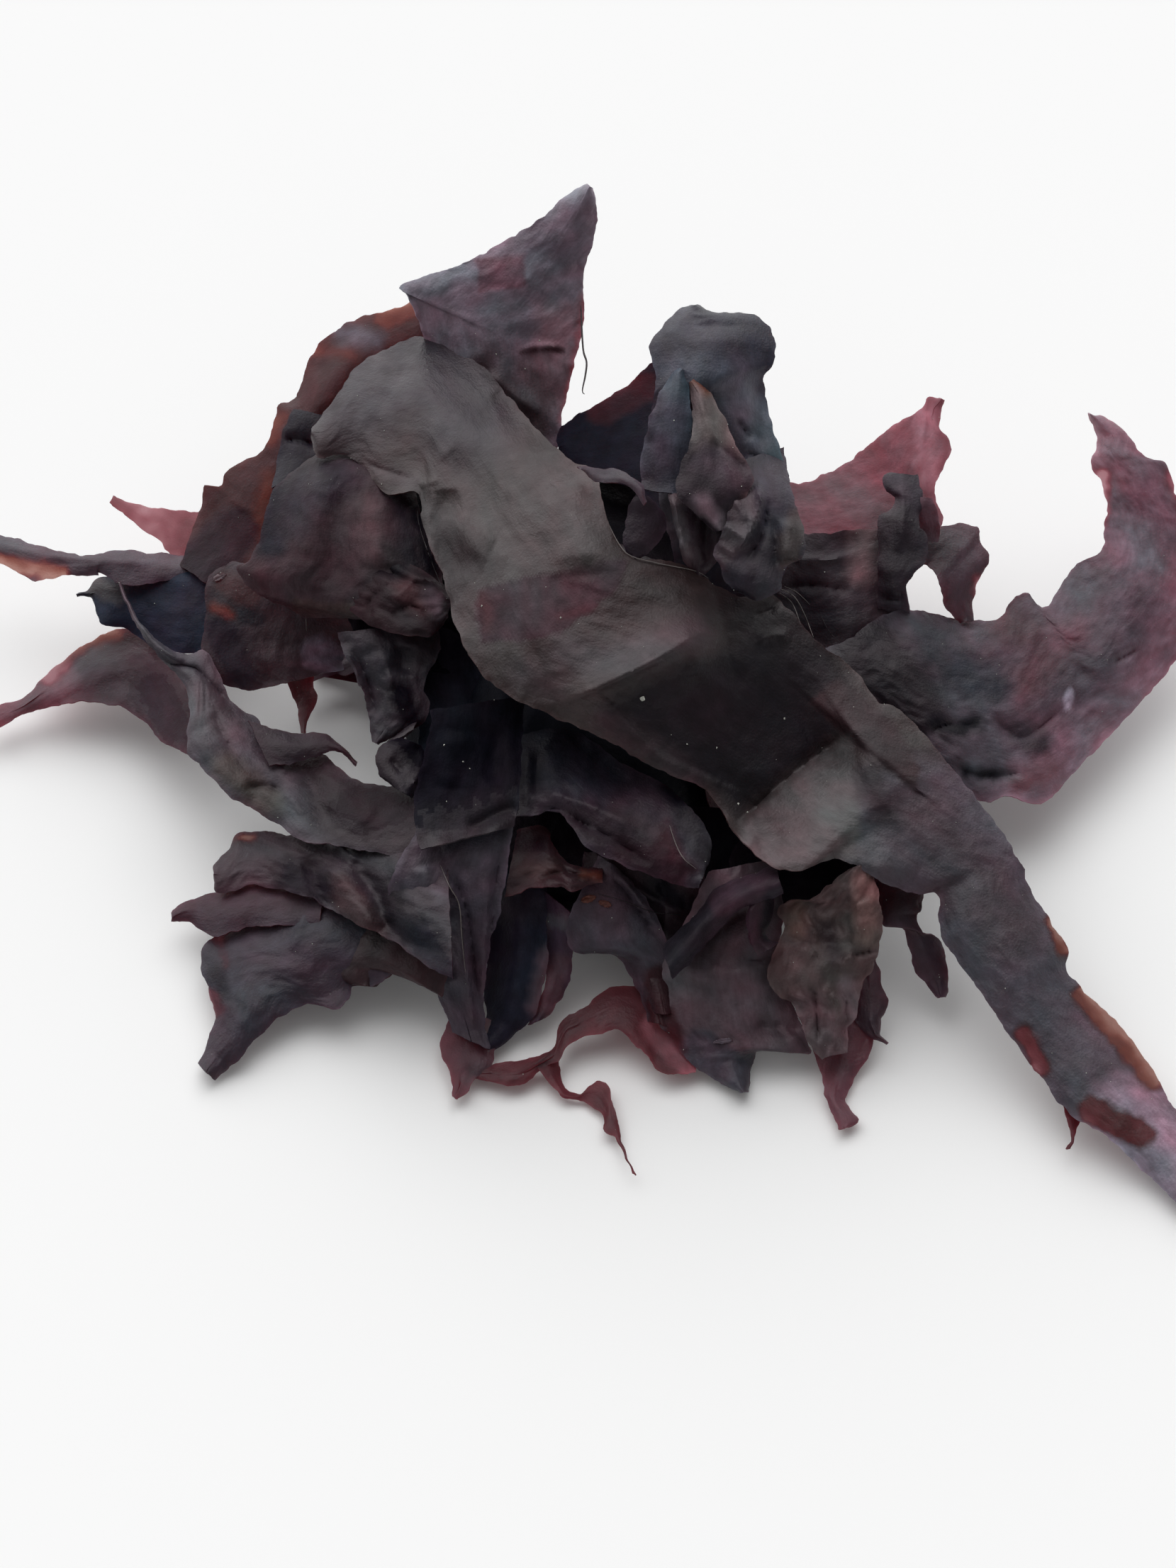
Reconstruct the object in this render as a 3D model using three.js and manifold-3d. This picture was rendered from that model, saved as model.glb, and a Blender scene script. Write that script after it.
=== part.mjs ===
// Dried dulse: a loose clump of thin, leathery seaweed fronds lying on a table.
// Millimetres, +Z up. The clump rests on Z = 0 and its box is centred on the Z axis.
import * as THREE from "three";
import manifold from "manifold-3d";

// Driving dimensions
const FROND_THICKNESS = 0.8;
const SECTION_SPACING = 10;
const STRIP_WIDTH = 14;
const RUFFLE_HEIGHT = 1.6;
const RUFFLE_LENGTH = 42;
const TABLE_CLEARANCE = 0.6;
const CORE_X = 3;
const CORE_Y = 10;
const CORE_REACH_X = 58;
const CORE_REACH_Y = 60;
const CORE_HEIGHT = 82;
const CLUMP_SHIFT_X = 0.1;
const CLUMP_SHIFT_Y = 7.55;

// The line of sight that the layout below is drawn along: from the front, looking down
const VIEW_ELEVATION = THREE.MathUtils.degToRad(50);
const VIEW_DISTANCE = 1000;
const VIEW_ACROSS = 166;
const VIEW_DOWN = 221;

// Fronds seen from the front, each by its two edges from root to tip and its heights over the table.
// An edge point is across and down on a plane square to the line of sight, from its top left corner.
// Heights are at even steps along the frond: one number, or that of the left and of the right edge.
const FRONDS = {
  main: {
    crown: 3,
    left: [
      [[88, 123], [90, 129], [96, 128], [102, 131], [109, 139], [118, 139], [120, 150], [126, 165],
        [129, 178], [138, 192], [152, 200], [170, 208], [186, 217], [198, 222], [203, 228], [209, 237]],
      [[209, 237], [218, 244.5], [226, 245.5], [236, 242], [250, 249], [258, 252], [265, 252.5],
        [266, 264], [277, 280], [288, 296], [302, 314], [312, 320], [331, 338], [340, 346]],
    ],
    right: [
      [[88, 121], [96, 110], [101, 103], [110, 98], [119, 95], [130, 100], [137, 104], [149, 118],
        [160, 129], [168, 134], [172, 148], [178, 156.5], [192, 159], [208, 168], [218, 167.5],
        [230, 180], [241, 189], [248, 198]],
      [[248, 198], [256, 202], [277, 227], [288, 243], [290, 250], [301, 267], [302, 275],
        [320, 294], [331, 312], [338, 322], [343, 333], [342, 342]],
    ],
    heights: [64, [66, 68], [70, 72], [70, 80], [64, 80], [58, 68], [46, 54], [44, 46], [34, 36], 24, 14, 7,
      3],
  },
  top_lobe: {
    crown: 2,
    left: [[[128, 112], [121, 98], [115.5, 84], [112.5, 81], [120, 78], [130, 74.5], [140, 69.5],
      [151, 62.5], [158, 56.5], [163, 53], [166, 52]]],
    right: [[[154, 130], [158, 125], [158.5, 118], [163, 99.5], [165, 88], [164.5, 77], [167, 69],
      [168.5, 60], [167.5, 53]]],
    heights: [60, 64, 70, 78, 88, 97, 104],
  },
  shoulder: {
    crown: 2,
    left: [[[122, 94], [108, 104], [96, 114], [88, 124], [80, 136], [74, 148], [66, 160], [58, 164]]],
    right: [[[116, 85], [100, 90], [93, 95], [86, 109], [79, 114], [77.5, 120], [74.5, 126], [65, 133],
      [62, 137], [58, 137], [57, 143], [53, 153], [51, 159.5]]],
    heights: [60, 54, 50, 46, 42, 39, 39, 43],
  },
  dome: {
    crown: 5,
    left: [[[92, 124], [82, 136], [76, 142], [74, 150], [70, 158], [70, 166]]],
    right: [[[106, 124], [110, 138], [112, 150], [112, 162], [106, 173]]],
    heights: [76, 64, 61, 57, 50, 42],
  },
  under_dome: {
    crown: 2,
    left: [[[56, 160], [58, 172], [60, 184], [68, 193.5]]],
    right: [[[104, 170], [100, 178], [98, 184], [97, 188]]],
    heights: [42, 35, 28, 22],
  },
  dome_crumple: {
    crown: 2,
    left: [[[98, 150], [101, 160], [104, 170], [106, 178]]],
    right: [[[119, 146], [121, 156], [126, 166], [124, 178]]],
    heights: [64, 60, 55, 48],
  },
  pink_wedge: {
    crown: 0.5,
    left: [[[60, 146], [55.5, 144.5], [48, 143.5], [40, 143], [32, 139.5]]],
    right: [[[56, 160], [51, 158], [46, 154], [40, 149], [31, 141.5]]],
    heights: [38, 27, 28],
  },
  left_strip: {
    crown: 1,
    left: [[[62, 158], [52, 157], [44, 156.5], [35, 155], [26, 157], [16, 155.5], [8, 153.5], [-7, 149]]],
    right: [[[60, 164], [50, 162.5], [30, 162.5], [20, 162], [11, 163.5], [0, 159.5], [-7, 153]]],
    heights: [47, 31, 29, 28, 29],
  },
  dark_wedge: {
    crown: 2,
    left: [[[62, 162], [50, 163], [38, 163], [28, 162.5], [26, 165], [22, 167]]],
    right: [[[62, 186], [48, 180], [38, 178], [32, 177.5], [28, 175], [26, 169], [22.5, 168]]],
    heights: [32, 26, 23, 21],
  },
  left_diagonal: {
    crown: 3,
    left: [[[86, 238], [77, 231], [72, 228], [65, 224], [60, 217], [53, 211], [50, 200], [45, 189],
      [37, 178], [31.5, 163]]],
    right: [[[104, 224], [92, 214], [84, 208], [76, 205], [71, 199], [66, 196], [62, 190], [56, 184],
      [48, 180], [40, 174], [33, 162.5]]],
    heights: [28, 26, 27, 30, 31, 27, 20],
  },
  left_red_tip: {
    crown: 1,
    left: [[[56, 200], [48, 186], [39, 178.5], [33, 177.5], [26, 179.5], [20, 185], [12, 192], [7, 197],
      [0, 199], [-5, 203]]],
    right: [[[54, 213], [46, 209], [40, 203], [35, 199.5], [26, 198], [18, 198.5], [8, 201], [0, 205],
      [-5, 206.5]]],
    heights: [34, 22, 15, 11, 9, 8],
  },
  left_dangle: {
    crown: 0.5,
    left: [[[79, 184], [82, 194], [84.5, 201], [85, 206.5]]],
    right: [[[90, 184], [88.5, 193], [89.5, 197], [87, 203], [86.5, 206.5]]],
    heights: [27, 21, 18, 16],
  },
  hook: {
    crown: 1,
    left: [[[70, 203], [79, 206], [85, 207], [90, 206.5], [95, 209], [101, 215]]],
    right: [[[76, 216], [84, 215], [91, 212.5], [94, 211.5], [97, 212.5], [100.5, 216]]],
    heights: [26, 25, 24, 23],
  },
  left_inner: {
    crown: 2,
    left: [[[118, 216], [109, 221.5], [103, 221.5], [97, 218], [90, 212.5], [78, 210]]],
    right: [[[120, 232], [104, 236], [90, 234], [80, 228]]],
    heights: [48, 32, 24, 22],
  },
  left_body: {
    crown: 3,
    left: [[[122, 222], [112, 228], [102, 232], [94, 238], [86, 244], [84, 252]]],
    right: [[[136, 244], [130, 258], [122, 272], [113, 273.5], [106, 277.5], [96, 276]]],
    heights: [44, 36, 28, 21, 16],
  },
  brown_lobe: {
    crown: 1.5,
    left: [[[100, 238], [90, 236], [80, 235.5], [74, 234.5], [66, 235.5], [65, 239], [60.5, 243]]],
    right: [[[100, 254], [88, 254], [76, 254], [68, 254], [61, 252], [60.5, 247]]],
    heights: [30, 21, 16, 13],
  },
  left_point: {
    crown: 1,
    left: [[[92, 250], [80, 251], [70, 250], [61, 252.5], [51, 254.5], [48.5, 258]]],
    right: [[[92, 272], [76, 270], [64, 268], [56, 266], [53, 260], [48.5, 259.5]]],
    heights: [26, 17, 13, 10, 8],
  },
  big_lobe: {
    crown: 2,
    left: [[[104, 246], [92, 252], [80, 258], [68, 261], [58, 266], [57, 272], [58.5, 278], [61, 286.5],
      [59, 293], [56, 300]]],
    right: [[[120, 266], [112, 273.5], [106, 277.5], [99.5, 278], [98.5, 282], [95, 284.5], [88, 283],
      [82, 285], [75, 290], [68, 298], [60.5, 304.5]]],
    heights: [30, 21, 14, 9, 5, 3],
  },
  inner_strip: {
    crown: 1.5,
    left: [[[95, 181], [100, 187], [102.5, 193], [104, 202], [106, 209]]],
    right: [[[121, 180], [119, 183], [114.5, 185], [115, 189], [117.5, 193], [116.5, 198], [112, 206]]],
    heights: [52, 49, 44, 39, 35],
  },
  inner_curl: {
    crown: 2,
    left: [[[114, 196], [108, 205], [104.5, 211], [104, 214]]],
    right: [[[121, 200], [118, 208], [114, 214], [109, 220]]],
    heights: [44, 38, 34, 32],
  },
  cavity: {
    crown: -2,
    left: [[[118, 178], [116, 190], [116, 204], [117, 218], [116, 232]]],
    right: [[[146, 190], [147, 200], [147, 210], [146, 224], [145, 238]]],
    heights: [50, 43, 41, 45, 43],
  },
  pleats: {
    crown: 3,
    left: [[[116, 230], [110, 240], [109, 250], [114, 258], [119, 268], [124, 281], [128, 291]]],
    right: [[[145, 230], [142.5, 244], [140, 256], [138, 266], [137.5, 280], [138, 296]]],
    heights: [44, 38, 30, 21, 12, 6],
  },
  dark_blade: {
    crown: 2,
    left: [[[141, 244], [139, 262], [137.5, 272], [137, 280], [137.5, 288], [134, 294]]],
    right: [[[155, 244], [154, 262], [155, 270], [153, 278], [151, 286], [145, 292], [139, 296.5]]],
    heights: [44, 26, 16, 10, 6, 4],
  },
  purple_narrow: {
    crown: 1,
    left: [[[152, 246], [153, 264], [153, 274], [152, 282], [149, 289]]],
    right: [[[162, 248], [161, 266], [162, 270], [161, 277], [157, 283], [153, 287.5]]],
    heights: [31, 20, 13, 9, 6],
  },
  red_foot: {
    crown: 0.5,
    left: [[[128, 284], [124.5, 295], [126, 300.5], [127, 303], [128, 309]]],
    right: [[[140, 288], [139, 300], [134.5, 304], [132, 308], [129, 310]]],
    heights: [15, 6, 3.5, 2.5],
  },
  red_loop: {
    crown: 0.5,
    left: [[[200, 290], [189, 283], [182, 279], [174, 278], [168, 281.5], [163, 285.5], [160, 286.5],
      [157.5, 291], [156.5, 295.5], [150, 298.5], [140, 300], [131, 302]]],
    right: [[[196, 302], [187, 302.5], [182, 297], [179, 294], [175, 290.5], [169, 291.5], [164, 292.5],
      [160, 295], [157.5, 299], [152, 302], [147, 306], [140, 305.5], [133, 303.5]]],
    heights: [14, 7, 9, 9, 7, 5, 4, 3],
  },
  red_thread: {
    crown: 0.3,
    left: [[[157, 296], [158.5, 304], [160, 307.5], [164, 308.5], [167, 306], [169.5, 305], [172, 307],
      [174.5, 316], [175.5, 322], [178.6, 331]]],
    right: [[[151, 300], [158, 308.5], [161, 310], [164.5, 310.5], [170, 314.5], [170.5, 319], [174, 321],
      [177, 327], [179.6, 331.5]]],
    heights: [8, 3, 2.5, 3, 3, 2, 2],
  },
  under_frond: {
    crown: 3,
    left: [[[138, 204], [160, 204], [174, 214], [187, 221], [196, 231], [200, 241], [198, 247]]],
    right: [[[138, 230], [158, 229.5], [166, 238], [176, 243], [186, 247.5], [197, 249]]],
    heights: [[46, 38], [51, 50], 48, 43, 37],
  },
  orange_scrap: {
    crown: 1,
    left: [[[145, 232], [154, 233], [158, 240], [166, 243], [170, 243]]],
    right: [[[142, 253], [150, 251], [160, 250], [168, 249.5], [170, 247]]],
    heights: [38, 37, 35, 33],
  },
  centre_leaf: {
    crown: 2,
    left: [[[168, 238], [162, 256], [164, 262], [168, 267], [174, 270], [178, 278], [182, 286]]],
    right: [[[175, 238], [184, 250], [189, 255], [187, 264], [185, 270], [187, 280], [190, 290]]],
    heights: [37, 28, 22, 17, 12, 9],
  },
  dark_tube: {
    crown: 5,
    left: [[[218, 241], [208, 245], [199, 250], [192, 258], [186, 268]]],
    right: [[[219, 250], [212, 254], [204, 260], [197, 268], [190, 276]]],
    heights: [41, 37, 33, 29, 25],
  },
  bottom_centre: {
    crown: 3,
    left: [[[200, 246], [190, 266], [186, 276], [187, 288], [193, 297], [203, 305], [209, 308]]],
    right: [[[218, 242], [222, 266], [224, 280], [226, 291], [229, 297], [222, 295.5], [214, 296],
      [212, 302], [211, 308]]],
    heights: [42, 32, 22, 13, 7, 4, 3],
  },
  dry_brown: {
    crown: 3,
    left: [[[236, 240], [232, 250], [224, 255], [221, 264], [219.5, 274], [224, 284], [230, 292],
      [233, 298]]],
    right: [[[243, 238], [248, 249], [249, 260], [248, 268], [246, 275], [242, 281], [240, 288],
      [239, 296]]],
    heights: [46, 34, 26, 18, 12, 8],
  },
  red_leg: {
    crown: 1,
    left: [[[228, 286], [230, 298], [232, 304], [233.5, 311], [235.5, 315], [236.5, 318.5]]],
    right: [[[247, 285], [246.5, 293], [245, 298], [241, 304], [238.5, 310.5], [242, 315.5], [240, 318]]],
    heights: [16, 7, 4, 3, 2.5],
  },
  dark_leaf: {
    crown: 1,
    left: [[[238, 266], [241, 280], [241.5, 288], [246, 292.5], [250.5, 294.5]]],
    right: [[[246, 264], [249, 278], [250.5, 283], [248.5, 288], [248.5, 292], [251, 294]]],
    heights: [26, 14, 9, 7],
  },
  right_dangle: {
    crown: 1,
    left: [[[246, 242], [249, 260], [254, 260.5], [256, 265], [258, 273], [261, 277], [264.5, 281.5]]],
    right: [[[262, 244], [260, 256], [258.5, 258], [260, 263], [265, 264.5], [267, 271], [267.5, 278],
      [267, 281]]],
    heights: [46, 28, 20, 14, 9],
  },
  thorn: {
    crown: 0.3,
    left: [[[297, 303], [302, 318], [301, 324]]],
    right: [[[309, 307], [303.5, 319], [302, 324]]],
    heights: [16, 6, 5],
  },
  horn: {
    crown: 4,
    left: [[[236, 176], [248, 172], [258, 172], [274, 175], [282, 174], [285, 170], [289.5, 167],
      [292, 170],
      [296, 170.5], [303, 160], [311, 155], [311.5, 148], [312.5, 144], [311, 136], [308, 131], [309.5, 124],
      [307.3, 116.3]]],
    right: [[[240, 196], [254, 206], [266, 218], [277, 226], [284, 224.5], [292, 226.5], [298, 224],
      [302, 219], [320, 200], [332, 186], [338, 176], [340, 160], [338, 148], [332, 140], [329, 131],
      [322, 128], [318, 122], [312, 118], [308.5, 116.8]]],
    heights: [56, 40, 32, 26, 23, 22, 24, 29, 36, 43, 47],
  },
  right_triangle: {
    crown: 1,
    left: [[[214, 136], [227, 136], [233, 133.5], [240, 130], [250, 121.5], [260, 115], [262, 112.5],
      [265, 112]]],
    right: [[[216, 154], [238, 152], [262, 150], [266, 147], [264, 141], [264, 136], [268.5, 126.5],
      [265, 120], [266.3, 112.5]]],
    heights: [86, 56, 52, 56, 60, 62],
  },
  ragged_base: {
    crown: 1.5,
    left: [[[224, 150], [236, 151], [248, 149], [256, 150], [262, 154]]],
    right: [[[226, 176], [240, 176], [250, 171], [256, 168], [257, 163]]],
    heights: [60, 53, 48, 45],
  },
  ragged_prong: {
    crown: 1,
    left: [[[250, 158], [249, 144], [253, 141], [249.5, 138], [251, 133.5]]],
    right: [[[264, 158], [262, 146], [260, 140], [260.5, 135], [258, 133]]],
    heights: [46, 52, 54, 56],
  },
  ragged_arm: {
    crown: 1,
    left: [[[254, 149], [266, 148.5], [271, 147.5], [276.5, 149], [276.5, 153], [279, 156.5], [277.5, 161],
      [275, 166], [274.5, 175]]],
    right: [[[254, 160], [261, 159], [264, 162], [266, 168], [267.5, 172], [271, 175.5]]],
    heights: [51, 46, 43, 39, 33],
  },
  cap: {
    crown: 3,
    left: [[[176, 190], [190, 164], [186, 140], [184, 120], [185, 106], [183.5, 97.5], [187, 92], [192, 87],
      [195, 86]]],
    right: [[[205, 190], [222, 160], [224, 146], [222, 133], [217.5, 118], [215.5, 107], [218.5, 102],
      [218.8, 97], [217, 92], [212, 88.5], [202, 88], [197, 86]]],
    heights: [40, 52, 63, 73, 83, 92, 100, 105, 106],
  },
  cap_wing: {
    crown: 1,
    left: [[[196, 106], [185, 102], [178, 108], [170, 113], [160, 119], [157, 124]]],
    right: [[[198, 140], [188, 144], [180, 138], [172, 136], [164, 133], [158, 128]]],
    heights: [88, 79, 71, 64, 60],
  },
  cap_leaf: {
    crown: 2,
    left: [[[192, 162], [186, 142], [184, 130], [185, 118], [188, 109], [193.5, 104]]],
    right: [[[206, 162], [208, 150], [206, 136], [203, 122], [198, 112], [195, 104.5]]],
    heights: [66, 78, 87, 94, 100, 103],
  },
  brown_leaf: {
    crown: 2,
    left: [[[199, 142], [198, 130], [196, 118], [195, 110], [195.5, 107]]],
    right: [[[214, 140], [209, 130], [206, 121], [202, 112], [197, 107]]],
    heights: [82, 93, 98, 103, 105],
  },
  brown_crumple: {
    crown: 3,
    left: [[[198, 163], [203, 152], [206, 142], [210, 134]]],
    right: [[[216, 169], [224, 164], [227, 154], [224, 142]]],
    heights: [64, 77, 83, 82],
  },
  lip: {
    crown: 1,
    left: [[[158, 129], [165, 132.5], [174, 132], [179, 134.5], [182.5, 138.5], [183, 145], [181, 151],
      [178.5, 157]]],
    right: [[[160, 136], [167, 138], [172, 138.5], [176, 139.5], [178, 142], [177.5, 147], [177, 152],
      [176.5, 157]]],
    heights: [77, 87, 91, 93, 93, 91, 87, 80],
  },
};

// Fronds on the far side, which lie fanned out from under the others
const BACK_FRONDS = 9;
const BACK_FIRST_ANGLE = 12;
const BACK_LAST_ANGLE = 172;
const BACK_ROOT_REACH = 18;
const BACK_LENGTHS = [62, 74, 58, 70, 82, 64, 78, 60, 70];
const BACK_HALF_WIDTH = 17;
const BACK_ROOT_HEIGHT = 50;
const BACK_TIP_HEIGHT = 7;

const DULSE = new THREE.MeshStandardMaterial({ name: "dulse", color: 0x3a2a2e, roughness: 0.5 });

const flat = (x, y) => new THREE.Vector2(x, y);

// The point at a height over the table that is seen at a place of the layout plane
function seen(across, down, height) {
  const up = VIEW_DOWN - down;
  const eye = new THREE.Vector3(0, -Math.cos(VIEW_ELEVATION), Math.sin(VIEW_ELEVATION));
  eye.multiplyScalar(VIEW_DISTANCE);
  const place = new THREE.Vector3(0, Math.sin(VIEW_ELEVATION), Math.cos(VIEW_ELEVATION)).multiplyScalar(up);
  place.x = across - VIEW_ACROSS;
  const sight = place.sub(eye);
  return eye.addScaledVector(sight, (height - eye.z) / sight.z);
}

// A closed body from points and triangles
function body(points, triangles) {
  const geometry = new THREE.BufferGeometry().setFromPoints(points);
  geometry.setIndex(triangles);
  return geometry;
}

// A thin sheet over a grid of points, thickened evenly to both sides
function sheet(grid) {
  const rows = grid.length;
  const columns = grid[0].length;
  const at = (i, j) => grid[Math.min(Math.max(i, 0), rows - 1)][Math.min(Math.max(j, 0), columns - 1)];
  const points = [[], []];
  for (let i = 0; i < rows; i++) {
    for (let j = 0; j < columns; j++) {
      const along = at(i + 1, j).clone().sub(at(i - 1, j));
      const aside = at(i, j + 1).clone().sub(at(i, j - 1));
      const out = along.cross(aside).normalize().multiplyScalar(FROND_THICKNESS / 2);
      points[0].push(at(i, j).clone().add(out));
      points[1].push(at(i, j).clone().sub(out));
    }
  }
  const far = rows * columns;
  const triangles = [];
  for (let i = 0; i + 1 < rows; i++) {
    for (let j = 0; j + 1 < columns; j++) {
      const a = i * columns + j;
      const b = a + columns;
      triangles.push(a, b, b + 1, a, b + 1, a + 1);
      triangles.push(far + a, far + b + 1, far + b, far + a, far + a + 1, far + b + 1);
    }
  }
  const rim = [];
  for (let j = 0; j < columns - 1; j++) rim.push(j);
  for (let i = 0; i < rows - 1; i++) rim.push(i * columns + columns - 1);
  for (let j = columns - 1; j > 0; j--) rim.push((rows - 1) * columns + j);
  for (let i = rows - 1; i > 0; i--) rim.push(i * columns);
  rim.forEach((a, k) => {
    const b = rim[(k + 1) % rim.length];
    triangles.push(a, b, far + b, a, far + b, far + a);
  });
  return body(points.flat(), triangles);
}

// Even steps along both edges of a frond
function edges(left, right) {
  const rails = [[], []];
  left.forEach((part, k) => {
    const curves = [part, right[k]].map((edge) => new THREE.SplineCurve(edge.map(([x, y]) => flat(x, y))));
    const length = Math.max(...curves.map((curve) => curve.getLength()));
    const steps = Math.max(2, Math.round(length / SECTION_SPACING));
    curves.forEach((curve, side) => rails[side].push(...curve.getSpacedPoints(steps).slice(k ? 1 : 0)));
  });
  return rails;
}

// One frond of the layout: a wavy sheet between its edges, crowned in the middle
function frond({ crown, left, right, heights }, order) {
  const [leftEdge, rightEdge] = edges(left, right);
  const profile = new THREE.SplineCurve(heights.map((h) => flat(h[0] ?? h, h[1] ?? h)));
  const width = Math.max(...leftEdge.map((p, i) => p.distanceTo(rightEdge[i])));
  const strips = Math.max(1, Math.round(width / STRIP_WIDTH));
  return sheet(
    leftEdge.map((start, i) => {
      const end = rightEdge[i];
      const height = profile.getPoint(i / (leftEdge.length - 1));
      const turn = (2 * Math.PI * i * SECTION_SPACING) / RUFFLE_LENGTH + order;
      return Array.from({ length: strips + 1 }, (_, j) => {
        const v = j / strips;
        const ruffle = RUFFLE_HEIGHT * (2 * v - 1) * Math.sin(turn + 2 * v);
        const rise = THREE.MathUtils.lerp(height.x, height.y, v) + crown * 4 * v * (1 - v) + ruffle;
        const place = start.clone().lerp(end, v);
        return seen(place.x, place.y, Math.max(rise, TABLE_CLEARANCE));
      });
    }),
  );
}

// One frond of the far side, from the core out to its tip
function backFrond(order) {
  const share = order / (BACK_FRONDS - 1);
  const angle = THREE.MathUtils.degToRad(THREE.MathUtils.lerp(BACK_FIRST_ANGLE, BACK_LAST_ANGLE, share));
  const length = BACK_LENGTHS[order];
  const steps = Math.round(length / SECTION_SPACING);
  return sheet(
    Array.from({ length: steps + 1 }, (_, i) => {
      const u = i / steps;
      const reach = BACK_ROOT_REACH + length * u;
      const bend = angle + 0.25 * u * Math.sin(order * 2.4);
      const half = BACK_HALF_WIDTH * Math.sqrt(Math.max(0.02, Math.sin(Math.PI * (0.25 + 0.75 * u))));
      return [1, 0, -1].map((side) => {
        const x = CORE_X + reach * Math.cos(bend) - side * half * Math.sin(bend);
        const y = CORE_Y + reach * Math.sin(bend) + side * half * Math.cos(bend);
        const drop = THREE.MathUtils.lerp(BACK_ROOT_HEIGHT, BACK_TIP_HEIGHT, u ** 0.8);
        return new THREE.Vector3(x, y, drop + side * 3 * Math.sin(4 * u + order) - 3 * side * side);
      });
    }),
  );
}

// The lumpy heap of folded fronds in the middle, flat where it rests
function core() {
  const turns = 20;
  const levels = 6;
  const points = [new THREE.Vector3(CORE_X, CORE_Y, 0)];
  for (let k = 0; k < levels; k++) {
    const inward = k / levels;
    for (let i = 0; i < turns; i++) {
      const a = (2 * Math.PI * i) / turns;
      const lump = 1 + 0.07 * Math.sin(3 * a + 1 + 4 * inward) + 0.05 * Math.sin(5 * a + 6 * inward);
      const share = (1 - inward) * lump;
      const height = CORE_HEIGHT * (1 - (1 - inward) ** 1.4);
      points.push(new THREE.Vector3(
        CORE_X + CORE_REACH_X * share * Math.cos(a), CORE_Y + CORE_REACH_Y * share * Math.sin(a), height));
    }
  }
  const peak = points.length;
  points.push(new THREE.Vector3(CORE_X, CORE_Y, CORE_HEIGHT));
  const triangles = [];
  for (let i = 0; i < turns; i++) {
    const next = (i + 1) % turns;
    triangles.push(0, 1 + next, 1 + i);
    for (let k = 0; k + 1 < levels; k++) {
      const a = 1 + k * turns;
      const b = a + turns;
      triangles.push(a + i, a + next, b + next, a + i, b + next, b + i);
    }
    const last = 1 + (levels - 1) * turns;
    triangles.push(last + i, last + next, peak);
  }
  return body(points, triangles);
}

const kernel = await manifold();
kernel.setup();

function solid(geometry) {
  return new kernel.Manifold(new kernel.Mesh({
    numProp: 3,
    vertProperties: geometry.getAttribute("position").array,
    triVerts: new Uint32Array(geometry.index.array),
  }));
}

const fronds = Object.values(FRONDS).map(frond);
for (let order = 0; order < BACK_FRONDS; order++) fronds.push(backFrond(order));
const joined = fronds.reduce((clump, piece) => clump.add(solid(piece)), solid(core()));

// The one outer body, with hollows that the joining closed off filled
const bodies = joined.decompose().sort((a, b) => b.volume() - a.volume());
const outer = bodies[0].getMesh();
const skin = new THREE.BufferGeometry();
skin.setAttribute("position", new THREE.BufferAttribute(outer.vertProperties, outer.numProp));
skin.setIndex(new THREE.BufferAttribute(outer.triVerts, 1));
skin.computeVertexNormals();

const clump = new THREE.Mesh(skin, DULSE);
clump.name = "dulse_clump";
clump.position.set(CLUMP_SHIFT_X, CLUMP_SHIFT_Y, 0);

const group = new THREE.Group();
group.name = "dried_dulse";
group.add(clump);
export default group;
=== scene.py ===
# Dried dulse clump: every frond as a thin crumpled sheet, with salt grains and torn fibres.
import math

import bpy
import numpy as np
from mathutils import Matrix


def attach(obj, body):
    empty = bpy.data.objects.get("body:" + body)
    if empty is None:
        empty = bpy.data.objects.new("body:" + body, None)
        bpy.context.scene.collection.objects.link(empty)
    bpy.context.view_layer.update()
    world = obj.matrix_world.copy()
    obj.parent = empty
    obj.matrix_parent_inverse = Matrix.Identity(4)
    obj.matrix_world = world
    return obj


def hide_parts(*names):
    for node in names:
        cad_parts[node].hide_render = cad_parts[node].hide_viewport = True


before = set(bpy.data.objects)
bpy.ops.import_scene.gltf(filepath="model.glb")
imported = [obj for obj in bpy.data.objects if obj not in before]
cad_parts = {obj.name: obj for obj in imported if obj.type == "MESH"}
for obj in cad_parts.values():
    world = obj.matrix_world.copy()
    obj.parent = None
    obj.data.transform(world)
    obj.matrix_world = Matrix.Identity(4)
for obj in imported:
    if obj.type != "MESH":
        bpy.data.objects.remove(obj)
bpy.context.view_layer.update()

# The line of sight that the layout is drawn along, in millimetres, and where the clump stands
VIEW_ELEVATION = math.radians(50)
VIEW_DISTANCE = 1000
VIEW_ACROSS = 166
VIEW_DOWN = 221
VIEW_TALL = 442.4
EYE = VIEW_DISTANCE * np.array([0, -math.cos(VIEW_ELEVATION), math.sin(VIEW_ELEVATION)])
CLUMP_SHIFT = np.array([0.1, 7.55, 0.0])
MM = 0.001

# Sheets: mesh steps, thickness, lowest height and the angle from which a fold looks sharp
GRID = 0.85
BACK_GRID = 1.2
THICKNESS = 0.35
TABLE_CLEARANCE = 0.5
SHARP_FOLD = math.radians(70)

# Edges: how far they are torn, lightened (partly wear, partly a painted highlight along the rim), thinned and
# curled, and how far in from the edge
EDGE_RAG = 0.5
EDGE_RAG_REACH = 2.5
EDGE_WEAR = 0.5
EDGE_WEAR_REACH = 0.7
EDGE_THINNING = 0.25
EDGE_THINNING_REACH = 1.8
EDGE_CURL = 1.6
EDGE_CURL_REACH = 2.6
EDGE_CURL_LENGTH = 18

# Folds: what share of a line each end fades over, how slowly, and how wide a step is
FOLD_FADE = 0.2
FOLD_FADE_CURVE = 0.7
STEP_WIDTH = 1.6

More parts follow.
